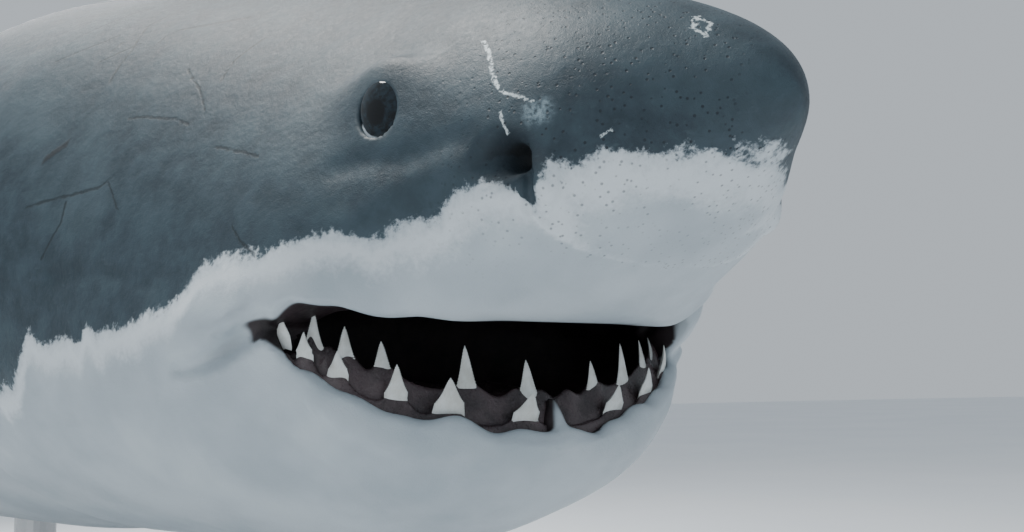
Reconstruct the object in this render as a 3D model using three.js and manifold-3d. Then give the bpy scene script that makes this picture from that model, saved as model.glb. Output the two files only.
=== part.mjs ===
// Great white shark, life size, as a still museum model on a plain display stand.
// Millimetres, +X towards the snout, +Y to the animal's left, +Z up.
// The origin is the centre of the stand base's underside, on the floor.
import * as THREE from 'three';
import { mergeVertices } from 'three/addons/utils/BufferGeometryUtils.js';
import Module from 'manifold-3d';

const wasm = await Module();
wasm.setup();

// ---------------------------------------------------------------- driving dimensions
const TOTAL_LENGTH = 4300; // snout tip to the tip of the upper tail lobe
const PERCENT = TOTAL_LENGTH / 100; // body sizes below are in percent of the total length
const AXIS_HEIGHT = 900; // body axis above the floor
const SNOUT_AHEAD = 1880; // snout tip ahead of the stand's centre
const SNOUT_LEFT = 180; // snout tip left of the stand's centre
const GAP = 0.3; // clearance between neighbouring solids

const BODY_SIDES = 30;
const FIN_SIDES = 6; // points along each face of a fin section
const MIN_FIN_EDGE = 1.2; // thickness of a fin's trailing edge

const BEND_START = 6; // the head is straight ahead of this
const BEND_FULL = 45;
const BEND_DEPTH = 3.2; // trunk's sideways set, to the right
const SWING_END = 105;
const SWING_DEPTH = 6.9; // tail's sideways return, to the left

const BASE_LENGTH = 1900;
const BASE_WIDTH = 960;
const BASE_THICKNESS = 40;
const BASE_CORNER = 90;
const BASE_CHAMFER = 8;
const ROD_RADIUS = 32;
const COLLAR_RADIUS = 70;
const COLLAR_HEIGHT = 26;
const ROD_STATIONS = { front: 33, rear: 52 }; // percent aft of the snout tip

// Body sections, percent of the total length: distance aft of the snout tip, top, bottom,
// half width, level of the greatest width, and how full the section is above and below that
// level (2 is an ellipse).
const BODY_SECTIONS = [
  [0.0, 0.0, 0.0, 0.0, 0.0, 2.0, 2.1], // snout tip
  [1.0, 1.44, -1.22, 1.41, -0.17, 2.0, 2.2],
  [3.2, 2.7, -2.61, 3.33, -0.78, 2.0, 2.5], // nostrils
  [4.9, 3.5, -3.38, 4.03, -1.1, 1.95, 2.7], // upper lip
  [6.4, 4.1, -3.9, 4.88, -2.1, 1.8, 3.7], // eyes
  [7.4, 4.5, -4.3, 5.52, -2.5, 1.68, 3.7],
  [8.8, 5.02, -4.8, 6.0, -2.6, 1.66, 3.4], // corners of the mouth
  [10.6, 5.55, -5.4, 6.35, -2.3, 1.72, 3.0],
  [14.5, 6.57, -6.9, 7.25, -1.6, 1.9, 2.4], // cheeks
  [19.0, 7.68, -8.2, 8.38, -1.0, 2.0, 2.2], // first gill slits
  [25.0, 8.92, -8.95, 8.8, -0.8, 2.0, 2.15], // pectoral fins
  [38.0, 9.45, -9.0, 8.35, -0.4, 2.0, 2.1], // first dorsal fin
  [50.0, 8.3, -7.9, 7.2, 0.0, 1.95, 2.05],
  [58.0, 6.8, -6.5, 5.9, 0.1, 1.9, 2.0], // pelvic fins
  [72.0, 3.7, -3.3, 3.0, 0.1, 1.9, 2.0], // second dorsal fin
  [80.5, 2.05, -1.8, 1.65, 0.0, 1.9, 2.0], // tail stalk
  [85.0, 2.1, -1.9, 1.1, 0.0, 2.0, 2.0],
  [88.5, 1.5, -1.4, 0.25, 0.0, 2.0, 2.0], // inside the tail fin
];

// Lower jaw and throat: distance aft of the chin's foremost point, bottom and half width.
const CHIN = 6.1; // chin's foremost point, aft of the snout tip
const JAW_SECTIONS = [
  [0.0, -5.85, 0.0],
  [0.15, -6.25, 1.8],
  [0.4, -6.65, 3.0],
  [0.9, -7.08, 4.2],
  [1.4, -7.4, 4.95],
  [2.45, -7.84, 5.7],
  [3.9, -8.27, 6.15],
  [5.9, -8.5, 6.7],
  [8.4, -8.62, 7.25],
  [13.0, -8.75, 7.95],
  [19.5, -8.9, 8.3],
];
const JAW_CROWN = 0.9; // jaw's loft above the lip line, before the gape is cut
const JAW_FULLNESS = 1.95;

const LOWER_LIP_FRONT = -5.74; // height of the lower lip at the chin
const LOWER_LIP_RISE = 1.035; // its climb aft
const UPPER_LIP = -3.45; // height of the upper lip
const LIP_ARCH = 0.38; // how far the upper lip arches near the corner
const LIP_ARCH_AT = 7.1;
const LIP_ARCH_SPREAD = 0.7;
const MOUTH_CORNER = 8.35;
const JAW_ARCH_HALF = 5.55; // half width of the tooth arch at the corners
const JAW_BACK = 9.4; // rear face of the lower jaw

// ---------------------------------------------------------------- curves
/** Monotone cubic through (xs, ys): no overshoot between its points. */
function monotoneCurve(xs, ys) {
  const last = xs.length - 1;
  const slopes = xs.slice(1).map((x, i) => (ys[i + 1] - ys[i]) / (x - xs[i]));
  const tangents = xs.map((_, i) => {
    if (i === 0) return slopes[0];
    if (i === last) return slopes[last - 1];
    const [a, b] = [slopes[i - 1], slopes[i]];
    return a * b <= 0 ? 0 : (2 * a * b) / (a + b);
  });
  return (x) => {
    let i = xs.findIndex((_, k) => k === last - 1 || x < xs[k + 1]);
    i = Math.max(i, 0);
    const width = xs[i + 1] - xs[i];
    const t = (x - xs[i]) / width;
    const rise = t * t * (3 - 2 * t);
    return (
      ys[i] * (1 - rise) +
      ys[i + 1] * rise +
      width * (tangents[i] * t * (1 - t) ** 2 - tangents[i + 1] * t * t * (1 - t))
    );
  };
}

/** One column of a section table as a curve of the square root of distance: a round nose. */
function sectionCurve(table, column) {
  const curve = monotoneCurve(
    table.map((row) => Math.sqrt(row[0])),
    table.map((row) => row[column]),
  );
  return (aft) => curve(Math.sqrt(Math.max(aft, 0)));
}

const bodyCurves = [1, 2, 3, 4, 5, 6].map((column) => sectionCurve(BODY_SECTIONS, column));
const [jawBottom, jawHalf] = [1, 2].map((column) => sectionCurve(JAW_SECTIONS, column));

/** Half a cosine wave from 0 to 1 between two stations. */
function easing(at, from, to) {
  const t = THREE.MathUtils.clamp((at - from) / (to - from), 0, 1);
  return (1 - Math.cos(Math.PI * t)) / 2;
}

/** A further set of the trunk to the right, in percent of the length. */
const TRUNK = { depth: 1.8, from: 14, full: 42, to: 90 };

/** Sideways set of the backbone, in percent: right in the trunk, back left in the tail. */
function sway(aft) {
  const swing = SWING_DEPTH * easing(aft, BEND_FULL, SWING_END);
  const trunk = easing(aft, TRUNK.from, TRUNK.full) - easing(aft, TRUNK.full, TRUNK.to);
  return swing - BEND_DEPTH * easing(aft, BEND_START, BEND_FULL) - TRUNK.depth * trunk;
}

/** A point in percent of the length, aft, left and up, as a millimetre vector. */
function place(aft, left, up) {
  return new THREE.Vector3(-aft, left + sway(aft), up).multiplyScalar(PERCENT);
}

function lowerLip(aft) {
  return LOWER_LIP_FRONT + LOWER_LIP_RISE * Math.max(aft - CHIN, 0);
}

function upperLip(aft) {
  return UPPER_LIP + LIP_ARCH * Math.exp(-(((aft - LIP_ARCH_AT) / LIP_ARCH_SPREAD) ** 2));
}

/** Distances between two stations; a power over 1 packs them towards the first. */
function spread(from, to, count, power = 1) {
  return Array.from({ length: count }, (_, i) => from + (to - from) * (i / (count - 1)) ** power);
}

// ---------------------------------------------------------------- solids
/** Closed skin through rings of equal length, with a fan over each end. */
function loft(rings) {
  const sides = rings[0].length;
  const points = rings.flat();
  const index = [];
  for (let ring = 0; ring + 1 < rings.length; ring += 1) {
    for (let side = 0; side < sides; side += 1) {
      const a = ring * sides + side;
      const b = ring * sides + ((side + 1) % sides);
      index.push(a, b, a + sides, b, b + sides, a + sides);
    }
  }
  [0, rings.length - 1].forEach((ring) => {
    const hub = points.length;
    const centre = new THREE.Vector3();
    rings[ring].forEach((point) => centre.addScaledVector(point, 1 / sides));
    points.push(centre);
    for (let side = 0; side < sides; side += 1) {
      const a = ring * sides + side;
      const b = ring * sides + ((side + 1) % sides);
      index.push(...(ring === 0 ? [b, a, hub] : [a, b, hub]));
    }
  });
  const geometry = new THREE.BufferGeometry().setFromPoints(points);
  geometry.setIndex(index);
  return geometry;
}

function signedVolume(geometry) {
  const { position } = geometry.attributes;
  const corner = (i) => new THREE.Vector3().fromBufferAttribute(position, geometry.index.getX(i));
  let volume = 0;
  for (let i = 0; i < geometry.index.count; i += 3) {
    volume += corner(i).dot(corner(i + 1).cross(corner(i + 2)));
  }
  return volume;
}

/** A three.js geometry as a manifold solid, faces pointing out. */
function solid(geometry) {
  const bare = geometry.clone();
  bare.deleteAttribute('normal');
  bare.deleteAttribute('uv');
  const merged = mergeVertices(bare, 1e-3);
  const triangles = Uint32Array.from(merged.index.array);
  if (signedVolume(merged) < 0) triangles.reverse();
  return new wasm.Manifold(
    new wasm.Mesh({
      numProp: 3,
      vertProperties: Float32Array.from(merged.attributes.position.array),
      triVerts: triangles,
    }),
  );
}

function block(min, max) {
  const size = new THREE.Vector3().subVectors(max, min);
  const middle = new THREE.Vector3().addVectors(min, max).multiplyScalar(0.5);
  const box = new THREE.BoxGeometry(size.x, size.y, size.z);
  return solid(box.translate(middle.x, middle.y, middle.z));
}

/** Everything between two stations, less half a gap at each end. */
function slab(fromAft, toAft) {
  const reach = TOTAL_LENGTH / 3;
  return block(
    new THREE.Vector3(-toAft * PERCENT + GAP / 2, -reach, -reach),
    new THREE.Vector3(-fromAft * PERCENT - GAP / 2, reach, reach),
  );
}

function ellipsoid(centre, radii, around = 16, down = 10) {
  const shape = new THREE.SphereGeometry(1, around, down).scale(radii.x, radii.y, radii.z);
  return shape.translate(centre.x, centre.y, centre.z);
}

// ---------------------------------------------------------------- body
/** Signed power, for superellipse sections. */
function bulge(value, fullness) {
  return Math.sign(value) * Math.abs(value) ** (2 / fullness);
}

/** One cross-section ring of a body, grown by some millimetres. */
function sectionRing(aft, section, sides, grow = 0) {
  const extra = grow / PERCENT;
  return Array.from({ length: sides }, (_, i) => {
    const angle = (2 * Math.PI * (i + 0.5)) / sides;
    const below = Math.sin(angle) < 0;
    const fullness = below ? section.under : section.over;
    const reach = below ? section.level - section.bottom : section.top - section.level;
    const left = (section.half + extra) * bulge(Math.cos(angle), fullness);
    const up = section.level + (reach + extra) * bulge(Math.sin(angle), fullness);
    return place(aft, left, up);
  });
}

function bodySection(aft) {
  const [top, bottom, half, level, over, under] = bodyCurves.map((curve) => curve(aft));
  return { top, bottom, half, level, over, under };
}

function jawSection(aft) {
  const behind = aft - CHIN;
  const bottom = jawBottom(behind);
  const level = Math.max(lowerLip(Math.min(aft, MOUTH_CORNER)) - 0.15, bottom);
  const top = level + Math.min(JAW_CROWN, 2 * behind);
  return { top, bottom, half: jawHalf(behind), level, over: JAW_FULLNESS, under: JAW_FULLNESS };
}

function bodyLoft(grow = 0) {
  const stations = [...spread(0.02, 16, 17, 1.6), ...spread(19, 88.5, 20)];
  return solid(loft(stations.map((aft) => sectionRing(aft, bodySection(aft), BODY_SIDES, grow))));
}

function jawLoft() {
  const stations = spread(CHIN + 0.01, CHIN + 19.5, 13, 2.2);
  return solid(loft(stations.map((aft) => sectionRing(aft, jawSection(aft), 22))));
}

/** The body's side surface at a station and height, in percent. */
function sideOf(aft, up) {
  const { top, bottom, half, level, over, under } = bodySection(aft);
  const [reach, power] = up < level ? [level - bottom, under] : [top - level, over];
  return half * (1 - (Math.abs(up - level) / reach) ** power) ** (1 / power);
}

// ---------------------------------------------------------------- mouth
/** A side-view outline (aft, up) in percent as a prism right across the head. */
function prismAcross(outline) {
  const corners = outline.map(([aft, up]) => new THREE.Vector2(-aft * PERCENT, up * PERCENT));
  const shape = new THREE.Shape(corners);
  const width = 20 * PERCENT;
  const prism = new THREE.ExtrudeGeometry(shape, { depth: width, bevelEnabled: false });
  return solid(prism.rotateX(Math.PI / 2).translate(0, width / 2, 0));
}

/** Everything below the upper lip, ahead of the lower jaw's rear face. */
function lowerJawRoom(clearance = 0) {
  const [front, floor] = [3.5, -12];
  const roof = spread(JAW_BACK, front, 12).map((aft) => [aft, upperLip(aft) - clearance / PERCENT]);
  return prismAcross([...roof, [front, floor], [JAW_BACK, floor]]);
}

/** Everything above the lower lip and its straight seam behind the corner of the mouth. */
function aboveLowerJaw() {
  const [front, roof] = [3.5, 4];
  const seam = upperLip(MOUTH_CORNER + 1) - 2 * (GAP / PERCENT);
  const lip = spread(CHIN, MOUTH_CORNER, 7).map((aft) => [aft, Math.min(lowerLip(aft), seam)]);
  const ahead = [front, LOWER_LIP_FRONT];
  return prismAcross([[front, roof], ahead, ...lip, [JAW_BACK + 1, seam], [JAW_BACK + 1, roof]]);
}

const CAVITY = { front: 6.85, middle: 9.3, back: 12.6, half: 4.6, roof: -2.3, floor: -6.35 };

/** The inside of the mouth, a little smaller by `inset` millimetres. */
function mouthCavity(inset = 0) {
  const less = inset / PERCENT;
  const turns = spread(-0.985, 0.985, 9);
  const rings = turns.map((turn) => {
    const swell = Math.sin(Math.acos(turn)) ** 0.8;
    const reach = turn < 0 ? CAVITY.middle - CAVITY.front : CAVITY.back - CAVITY.middle;
    const aft = CAVITY.middle + turn * (reach - less);
    const level = (CAVITY.roof + CAVITY.floor) / 2 + 0.5 * turn;
    const tall = ((CAVITY.roof - CAVITY.floor) / 2) * swell - less;
    const half = CAVITY.half * swell - less;
    const section = { top: level + tall, bottom: level - tall, level, half, over: 2.4, under: 2.4 };
    return sectionRing(aft, section, 16);
  });
  return solid(loft(rings));
}

/** A point on the lower jaw's arch; side runs from -1 (right corner) to 1 (left corner). */
function jawArch(side, inset) {
  const turn = (side * Math.PI) / 2;
  const depth = MOUTH_CORNER - CHIN - inset;
  const half = JAW_ARCH_HALF - inset;
  return { aft: MOUTH_CORNER - depth * Math.cos(turn), left: half * Math.sin(turn) };
}

// Teeth by their places on the arch, from the right corner (-1) to the left one (1).
const LOWER_TEETH = [
  {
    sides: [-0.82, -0.67, -0.475, -0.31, -0.105, 0.22, 0.5, 0.66],
    inset: 0.27,
    height: 27,
    width: 32,
    lean: 0.6, // outer row, leaning out
  },
  {
    sides: [-0.83, -0.69, -0.54, -0.255, -0.05, 0.21, 0.38, 0.56, 0.74],
    inset: 0.56,
    height: 47,
    width: 38,
    lean: 0.05, // inner row, upright
  },
];
const TOOTH_ROOT = 14; // depth below the lip line
const TOOTH_THICKNESS = 10;


/** One flat triangular tooth standing on the arch. */
function tooth({ inset, height, width, lean }, side) {
  const { aft, left } = jawArch(side, inset);
  const ahead = jawArch(side + 0.02, inset);
  const behind = jawArch(side - 0.02, inset);
  const along = Math.atan2(ahead.left - behind.left, behind.aft - ahead.aft);
  const size = 1 - 0.45 * Math.abs(side) ** 1.5;
  const reach = height * size + TOOTH_ROOT;
  const cone = new THREE.ConeGeometry(1, reach, 4, 1);
  cone.translate(0, reach / 2 - TOOTH_ROOT, 0).rotateX(Math.PI / 2);
  cone.scale((width * size) / 2, TOOTH_THICKNESS / 2, 1).rotateX(lean).rotateZ(along);
  const seat = place(aft, left, lowerLip(aft));
  return solid(cone.translate(seat.x, seat.y, seat.z));
}

/** The fold of skin that closes the left corner of the mouth. */
function cornerFold() {
  const radii = new THREE.Vector3(1.0, 0.42, 1.0).multiplyScalar(PERCENT);
  return solid(ellipsoid(place(7.9, 4.92, -3.9), radii, 10, 8));
}

function lowerTeeth() {
  return LOWER_TEETH.flatMap((row) => row.sides.map((side) => tooth(row, side)));
}

// ---------------------------------------------------------------- eyes, nostrils, gills
const EYE = { aft: 6.05, up: 0.28, radius: 36, depth: 26 };

function eyeCentre(sign) {
  const surface = place(EYE.aft, sign * sideOf(EYE.aft, EYE.up), EYE.up);
  const inwards = new THREE.Vector3(-0.33, -sign * 0.93, -0.13).normalize();
  return surface.addScaledVector(inwards, EYE.depth);
}

function eyeball(sign, grow = 0) {
  const radius = EYE.radius + grow;
  return ellipsoid(eyeCentre(sign), new THREE.Vector3(radius, radius, radius), 12, 8);
}

function nostril(sign) {
  const [aft, up] = [3.22, -1.38];
  const at = place(aft, sign * (sideOf(aft, up) - 0.1), up);
  const slit = new THREE.SphereGeometry(1, 8, 6).scale(6, 20, 24);
  slit.rotateX(sign * 0.45).rotateZ(sign * 0.35);
  return solid(slit.translate(at.x, at.y, at.z));
}

const GILLS = { first: 18.6, spacing: 1.28, count: 5, width: 7, length: 330, depth: 24, up: -1.9 };

function gillSlit(sign, number) {
  const aft = GILLS.first + number * GILLS.spacing;
  const side = place(aft, sign * bodySection(aft).half, GILLS.up);
  const reach = 60;
  const cut = new THREE.BoxGeometry(GILLS.width, reach, GILLS.length);
  cut.rotateY(0.1).translate(side.x, side.y + sign * (reach / 2 - GILLS.depth), side.z);
  return solid(cut);
}

// ---------------------------------------------------------------- fins
/** Half thickness along a fin's chord, 1 at its fullest. */
function foil(along) {
  return (Math.sqrt(along) * (1 - along)) / 0.385;
}

/**
 * A fin as a loft from root to tip. lead and trail give the edges, aft in percent, over the
 * span 0 to 1; at turns (aft, out, through) into a point; thickness is in millimetres.
 */
function fin({ lead, trail, thickness, at, rings = 9 }) {
  const chordSteps = spread(0, Math.PI, FIN_SIDES).map((angle) => (1 - Math.cos(angle)) / 2);
  const sections = spread(0, 1, rings, 0.85).map((span) => {
    const face = (sign, step) => {
      const thick = Math.max(thickness(span) * foil(step), MIN_FIN_EDGE) / 2;
      return at(lead(span) + (trail(span) - lead(span)) * step, span, (sign * thick) / PERCENT);
    };
    const near = chordSteps.map((step) => face(1, step));
    const far = chordSteps.toReversed().map((step) => face(-1, step));
    return [...near, ...far];
  });
  return solid(loft(sections));
}

function firstDorsalFin() {
  const [foot, height] = [8.2, 10.9];
  return fin({
    lead: (s) => 37.0 + 6.9 * s + 2.8 * s ** 3,
    trail: (s) => 46.2 + 4.2 * (1 - s) ** 7 + 1.4 * s ** 3,
    thickness: (s) => 58 * (1 - s) + 8,
    at: (aft, s, through) => place(aft, through, foot + height * s),
    rings: 10,
  });
}

function smallFin(sign, start, foot, height) {
  return fin({
    lead: (s) => start + 1.9 * s + 0.5 * s * s,
    trail: (s) => start + 2.5 + 1.9 * (1 - s) ** 4 + 0.5 * s,
    thickness: (s) => 18 * (1 - s) + 4,
    at: (aft, s, through) => place(aft, sign * through, sign * (foot + height * s)),
    rings: 5,
  });
}

/** Paired fins stand out and down from the body at an angle. */
function pairedFin(sign, { foot, span, droop, ...shape }) {
  return fin({
    ...shape,
    at: (aft, s, through) => {
      const out = foot.out + span * s * Math.cos(droop) + through * Math.sin(droop);
      const up = foot.up - span * s * Math.sin(droop) + through * Math.cos(droop);
      return place(aft, sign * out, up);
    },
  });
}

function pectoralFin(sign) {
  return pairedFin(sign, {
    foot: { out: 5.6, up: -4.3 },
    span: 18.6,
    droop: 0.46,
    lead: (s) => 24.6 + 10.5 * s + 5.0 * s ** 2.4,
    trail: (s) => 32.6 + 2.2 * Math.exp(-(((s - 0.17) / 0.1) ** 2)) + 4.6 * s + 3.5 * s ** 3,
    thickness: (s) => 62 * (1 - s) ** 0.8 + 8,
    rings: 11,
  });
}

function pelvicFin(sign) {
  return pairedFin(sign, {
    foot: { out: 2.6, up: -4.6 },
    span: 5.6,
    droop: 0.75,
    lead: (s) => 56.2 + 3.6 * s,
    trail: (s) => 60.4 + 1.2 * s - 0.5 * Math.sin(Math.PI * s),
    thickness: (s) => 26 * (1 - s) + 5,
    rings: 6,
  });
}

function upperTailLobe() {
  return fin({
    lead: (s) => 82.6 + 13.6 * s + 2.8 * s * s,
    trail: (s) => 89.6 + 8.6 * s + 1.8 * s ** 6,
    thickness: (s) => 50 * (1 - s) ** 1.2 + 8,
    at: (aft, s, through) => place(aft, through, 15.8 * s),
    rings: 11,
  });
}

function lowerTailLobe() {
  return fin({
    lead: (s) => 83.0 + 9.6 * s + 1.8 * s * s,
    trail: (s) => 89.6 + 4.6 * s + 1.2 * s ** 4,
    thickness: (s) => 50 * (1 - s) ** 1.2 + 8,
    at: (aft, s, through) => place(aft, -through, -13.6 * s),
    rings: 10,
  });
}

/** The flat keel along each side of the tail stalk. */
function tailKeels() {
  const middle = 81.5;
  const keel = new THREE.SphereGeometry(1, 14, 6);
  const { position } = keel.attributes;
  for (let i = 0; i < position.count; i += 1) {
    const aft = middle + 6.4 * position.getX(i);
    const at = place(aft, 3.0 * position.getY(i), 0.5 * position.getZ(i));
    position.setXYZ(i, at.x, at.y, at.z);
  }
  return solid(keel);
}

// ---------------------------------------------------------------- stand
function floorLevel() {
  return -AXIS_HEIGHT;
}

function standBase() {
  const [x, y] = [BASE_LENGTH / 2 - BASE_CHAMFER, BASE_WIDTH / 2 - BASE_CHAMFER];
  const corner = BASE_CORNER - BASE_CHAMFER;
  const outline = new THREE.Shape();
  outline.moveTo(corner - x, -y);
  outline.lineTo(x - corner, -y);
  outline.absarc(x - corner, corner - y, corner, -Math.PI / 2, 0);
  outline.lineTo(x, y - corner);
  outline.absarc(x - corner, y - corner, corner, 0, Math.PI / 2);
  outline.lineTo(corner - x, y);
  outline.absarc(corner - x, y - corner, corner, Math.PI / 2, Math.PI);
  outline.lineTo(-x, corner - y);
  outline.absarc(corner - x, corner - y, corner, Math.PI, Math.PI * 1.5);
  const plate = new THREE.ExtrudeGeometry(outline, {
    depth: BASE_THICKNESS - 2 * BASE_CHAMFER,
    bevelThickness: BASE_CHAMFER,
    bevelSize: BASE_CHAMFER,
    bevelSegments: 1,
    curveSegments: 4,
  });
  plate.translate(-SNOUT_AHEAD, -SNOUT_LEFT, floorLevel() + BASE_CHAMFER);
  return solid(plate);
}

/** A round rod from the base up into the belly, with a collar at its foot. */
function standRod(aft) {
  const foot = floorLevel() + BASE_THICKNESS + GAP;
  const top = bodySection(aft).level * PERCENT;
  const profile = [
    [0, foot],
    [COLLAR_RADIUS, foot],
    [COLLAR_RADIUS, foot + COLLAR_HEIGHT - 6],
    [COLLAR_RADIUS - 6, foot + COLLAR_HEIGHT],
    [ROD_RADIUS, foot + COLLAR_HEIGHT],
    [ROD_RADIUS, top],
    [0, top],
  ];
  const rod = new THREE.LatheGeometry(profile.map(([r, z]) => new THREE.Vector2(r, z)), 20);
  const { x, y } = place(aft, 0, 0);
  return solid(rod.rotateX(Math.PI / 2).translate(x, y, 0));
}

// ---------------------------------------------------------------- assembly
const SKIN_DARK = { color: 0x46545f, roughness: 0.42, metalness: 0 };
const SKIN_PALE = { color: 0xd3dde2, roughness: 0.45, metalness: 0 };
const MOUTH = { color: 0x7d5a5c, roughness: 0.5, metalness: 0 };
const EYE_BLACK = { color: 0x07080a, roughness: 0.08, metalness: 0 };
const STAND_PAINT = { color: 0x2c2f33, roughness: 0.55, metalness: 0 };

const shark = new THREE.Group();
shark.position.set(SNOUT_AHEAD, SNOUT_LEFT, AXIS_HEIGHT);

function addNode(name, shape, finish) {
  const { vertProperties, triVerts } = shape.getMesh();
  const geometry = new THREE.BufferGeometry();
  const positions = new THREE.BufferAttribute(Float32Array.from(vertProperties), 3);
  geometry.setAttribute('position', positions);
  geometry.setIndex(Array.from(triVerts));
  geometry.computeVertexNormals();
  const mesh = new THREE.Mesh(geometry, new THREE.MeshStandardMaterial(finish));
  mesh.name = name;
  shark.add(mesh);
}

const SIDES = { left: 1, right: -1 };

function cutAll(shape, tools) {
  return tools.reduce((rest, tool) => rest.subtract(tool), shape);
}

function buildBody() {
  const throat = jawLoft().intersect(slab(JAW_BACK, 30));
  const upperHead = bodyLoft().subtract(lowerJawRoom());
  const whole = upperHead.add(throat).add(tailKeels());
  const signs = Object.values(SIDES);
  const sockets = signs.map((sign) => solid(eyeball(sign, GAP)));
  const hollows = [mouthCavity(), ...sockets, ...signs.map(nostril)];
  const numbers = spread(0, GILLS.count - 1, GILLS.count);
  const slits = signs.flatMap((sign) => numbers.map((number) => gillSlit(sign, number)));
  addNode('head', cutAll(whole.intersect(slab(-1, 16)), hollows), SKIN_DARK);
  addNode('gill_region', cutAll(whole.intersect(slab(16, 24.9)), slits), SKIN_DARK);
  addNode('trunk', whole.intersect(slab(24.9, 46)), SKIN_DARK);
  addNode('abdomen', whole.intersect(slab(46, 64)), SKIN_DARK);
  addNode('tail_stalk', whole.intersect(slab(64, 90)), SKIN_DARK);
}

function buildMouth() {
  const jaw = jawLoft().intersect(slab(0, JAW_BACK)).subtract(aboveLowerJaw()).subtract(mouthCavity());
  const grown = [cornerFold(), ...lowerTeeth()].reduce((rest, one) => rest.add(one), jaw);
  addNode('lower_jaw', grown.intersect(lowerJawRoom(GAP)), SKIN_PALE);
  const tongueAt = place(9.3, 0, -6.1);
  const tongue = solid(ellipsoid(tongueAt, new THREE.Vector3(100, 110, 45), 12, 8));
  addNode('tongue', tongue.intersect(mouthCavity(GAP)), MOUTH);
}

function buildFins() {
  const body = bodyLoft(GAP).add(tailKeels());
  const addFin = (name, shape) => addNode(name, shape.subtract(body), SKIN_DARK);
  addFin('first_dorsal_fin', firstDorsalFin());
  addFin('second_dorsal_fin', smallFin(1, 71.4, 2.9, 2.7));
  addFin('anal_fin', smallFin(-1, 74.6, 2.2, 2.8));
  Object.entries(SIDES).forEach(([side, sign]) => {
    addFin(`pectoral_fin_${side}`, pectoralFin(sign));
    addFin(`pelvic_fin_${side}`, pelvicFin(sign));
  });
  addFin('tail_fin_upper', upperTailLobe());
  addFin('tail_fin_lower', lowerTailLobe());
}

function buildEyes() {
  Object.entries(SIDES).forEach(([side, sign]) => {
    addNode(`eye_${side}`, solid(eyeball(sign)), EYE_BLACK);
  });
}

function buildStand() {
  const body = bodyLoft(GAP);
  addNode('stand_base', standBase(), STAND_PAINT);
  Object.entries(ROD_STATIONS).forEach(([end, aft]) => {
    addNode(`stand_rod_${end}`, standRod(aft).subtract(body), STAND_PAINT);
  });
}

buildBody();
buildMouth();
buildFins();
buildEyes();
buildStand();

export default shark;
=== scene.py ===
import math
from itertools import product

import bmesh
import bpy
import numpy as np
from mathutils import Matrix, Vector


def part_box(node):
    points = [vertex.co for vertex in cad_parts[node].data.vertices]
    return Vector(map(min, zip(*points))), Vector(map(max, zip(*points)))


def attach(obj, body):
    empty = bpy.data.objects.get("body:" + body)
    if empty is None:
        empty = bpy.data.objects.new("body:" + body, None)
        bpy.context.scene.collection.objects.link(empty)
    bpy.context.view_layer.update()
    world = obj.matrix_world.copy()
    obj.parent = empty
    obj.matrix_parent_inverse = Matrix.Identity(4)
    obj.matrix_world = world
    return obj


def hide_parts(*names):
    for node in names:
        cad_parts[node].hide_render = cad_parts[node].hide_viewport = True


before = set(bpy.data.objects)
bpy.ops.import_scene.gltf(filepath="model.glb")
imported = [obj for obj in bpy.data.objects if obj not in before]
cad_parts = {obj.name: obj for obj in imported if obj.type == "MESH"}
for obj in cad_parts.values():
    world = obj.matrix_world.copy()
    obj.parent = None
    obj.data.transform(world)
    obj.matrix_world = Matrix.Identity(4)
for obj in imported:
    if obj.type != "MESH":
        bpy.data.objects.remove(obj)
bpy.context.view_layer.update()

# ---------------- sizes
# Body sizes are in percent of the total length: aft of the snout tip, left, up.
PERCENT_MM = 43
PERCENT = PERCENT_MM / 1000


def box_centre(node):
    """The middle of a CAD node's box."""
    low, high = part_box(node)
    return (np.array(low) + np.array(high)) / 2


EYE_MIDDLE = (box_centre("eye_left") + box_centre("eye_right")) / 2
SNOUT = np.array((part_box("head")[1][0] + 0.0009, EYE_MIDDLE[1], EYE_MIDDLE[2] - 0.0087))

# aft, top, bottom, half width, level of the greatest width, fullness above and below it
BODY_SECTIONS = (
    (0.0, 0.0, 0.0, 0.0, 0.0, 2.0, 2.1),
    (1.0, 1.44, -1.22, 1.41, -0.17, 2.0, 2.2),
    (3.2, 2.7, -2.61, 3.33, -0.78, 2.0, 2.5),
    (4.9, 3.5, -3.38, 4.03, -1.1, 1.95, 2.7),
    (6.4, 4.1, -3.9, 4.88, -2.1, 1.8, 3.7),
    (7.4, 4.5, -4.3, 5.52, -2.5, 1.68, 3.7),
    (8.8, 5.02, -4.8, 6.0, -2.6, 1.66, 3.4),
    (10.6, 5.55, -5.4, 6.35, -2.3, 1.72, 3.0),
    (14.5, 6.57, -6.9, 7.25, -1.6, 1.9, 2.4),
    (19.0, 7.68, -8.2, 8.38, -1.0, 2.0, 2.2),
    (25.0, 8.92, -8.95, 8.8, -0.8, 2.0, 2.15),
    (38.0, 9.45, -9.0, 8.35, -0.4, 2.0, 2.1),
    (50.0, 8.3, -7.9, 7.2, 0.0, 1.95, 2.05),
    (58.0, 6.8, -6.5, 5.9, 0.1, 1.9, 2.0),
    (72.0, 3.7, -3.3, 3.0, 0.1, 1.9, 2.0),
    (80.5, 2.05, -1.8, 1.65, 0.0, 1.9, 2.0),
    (85.0, 2.1, -1.9, 1.1, 0.0, 2.0, 2.0),
    (88.5, 1.5, -1.4, 0.25, 0.0, 2.0, 2.0),
)
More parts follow.
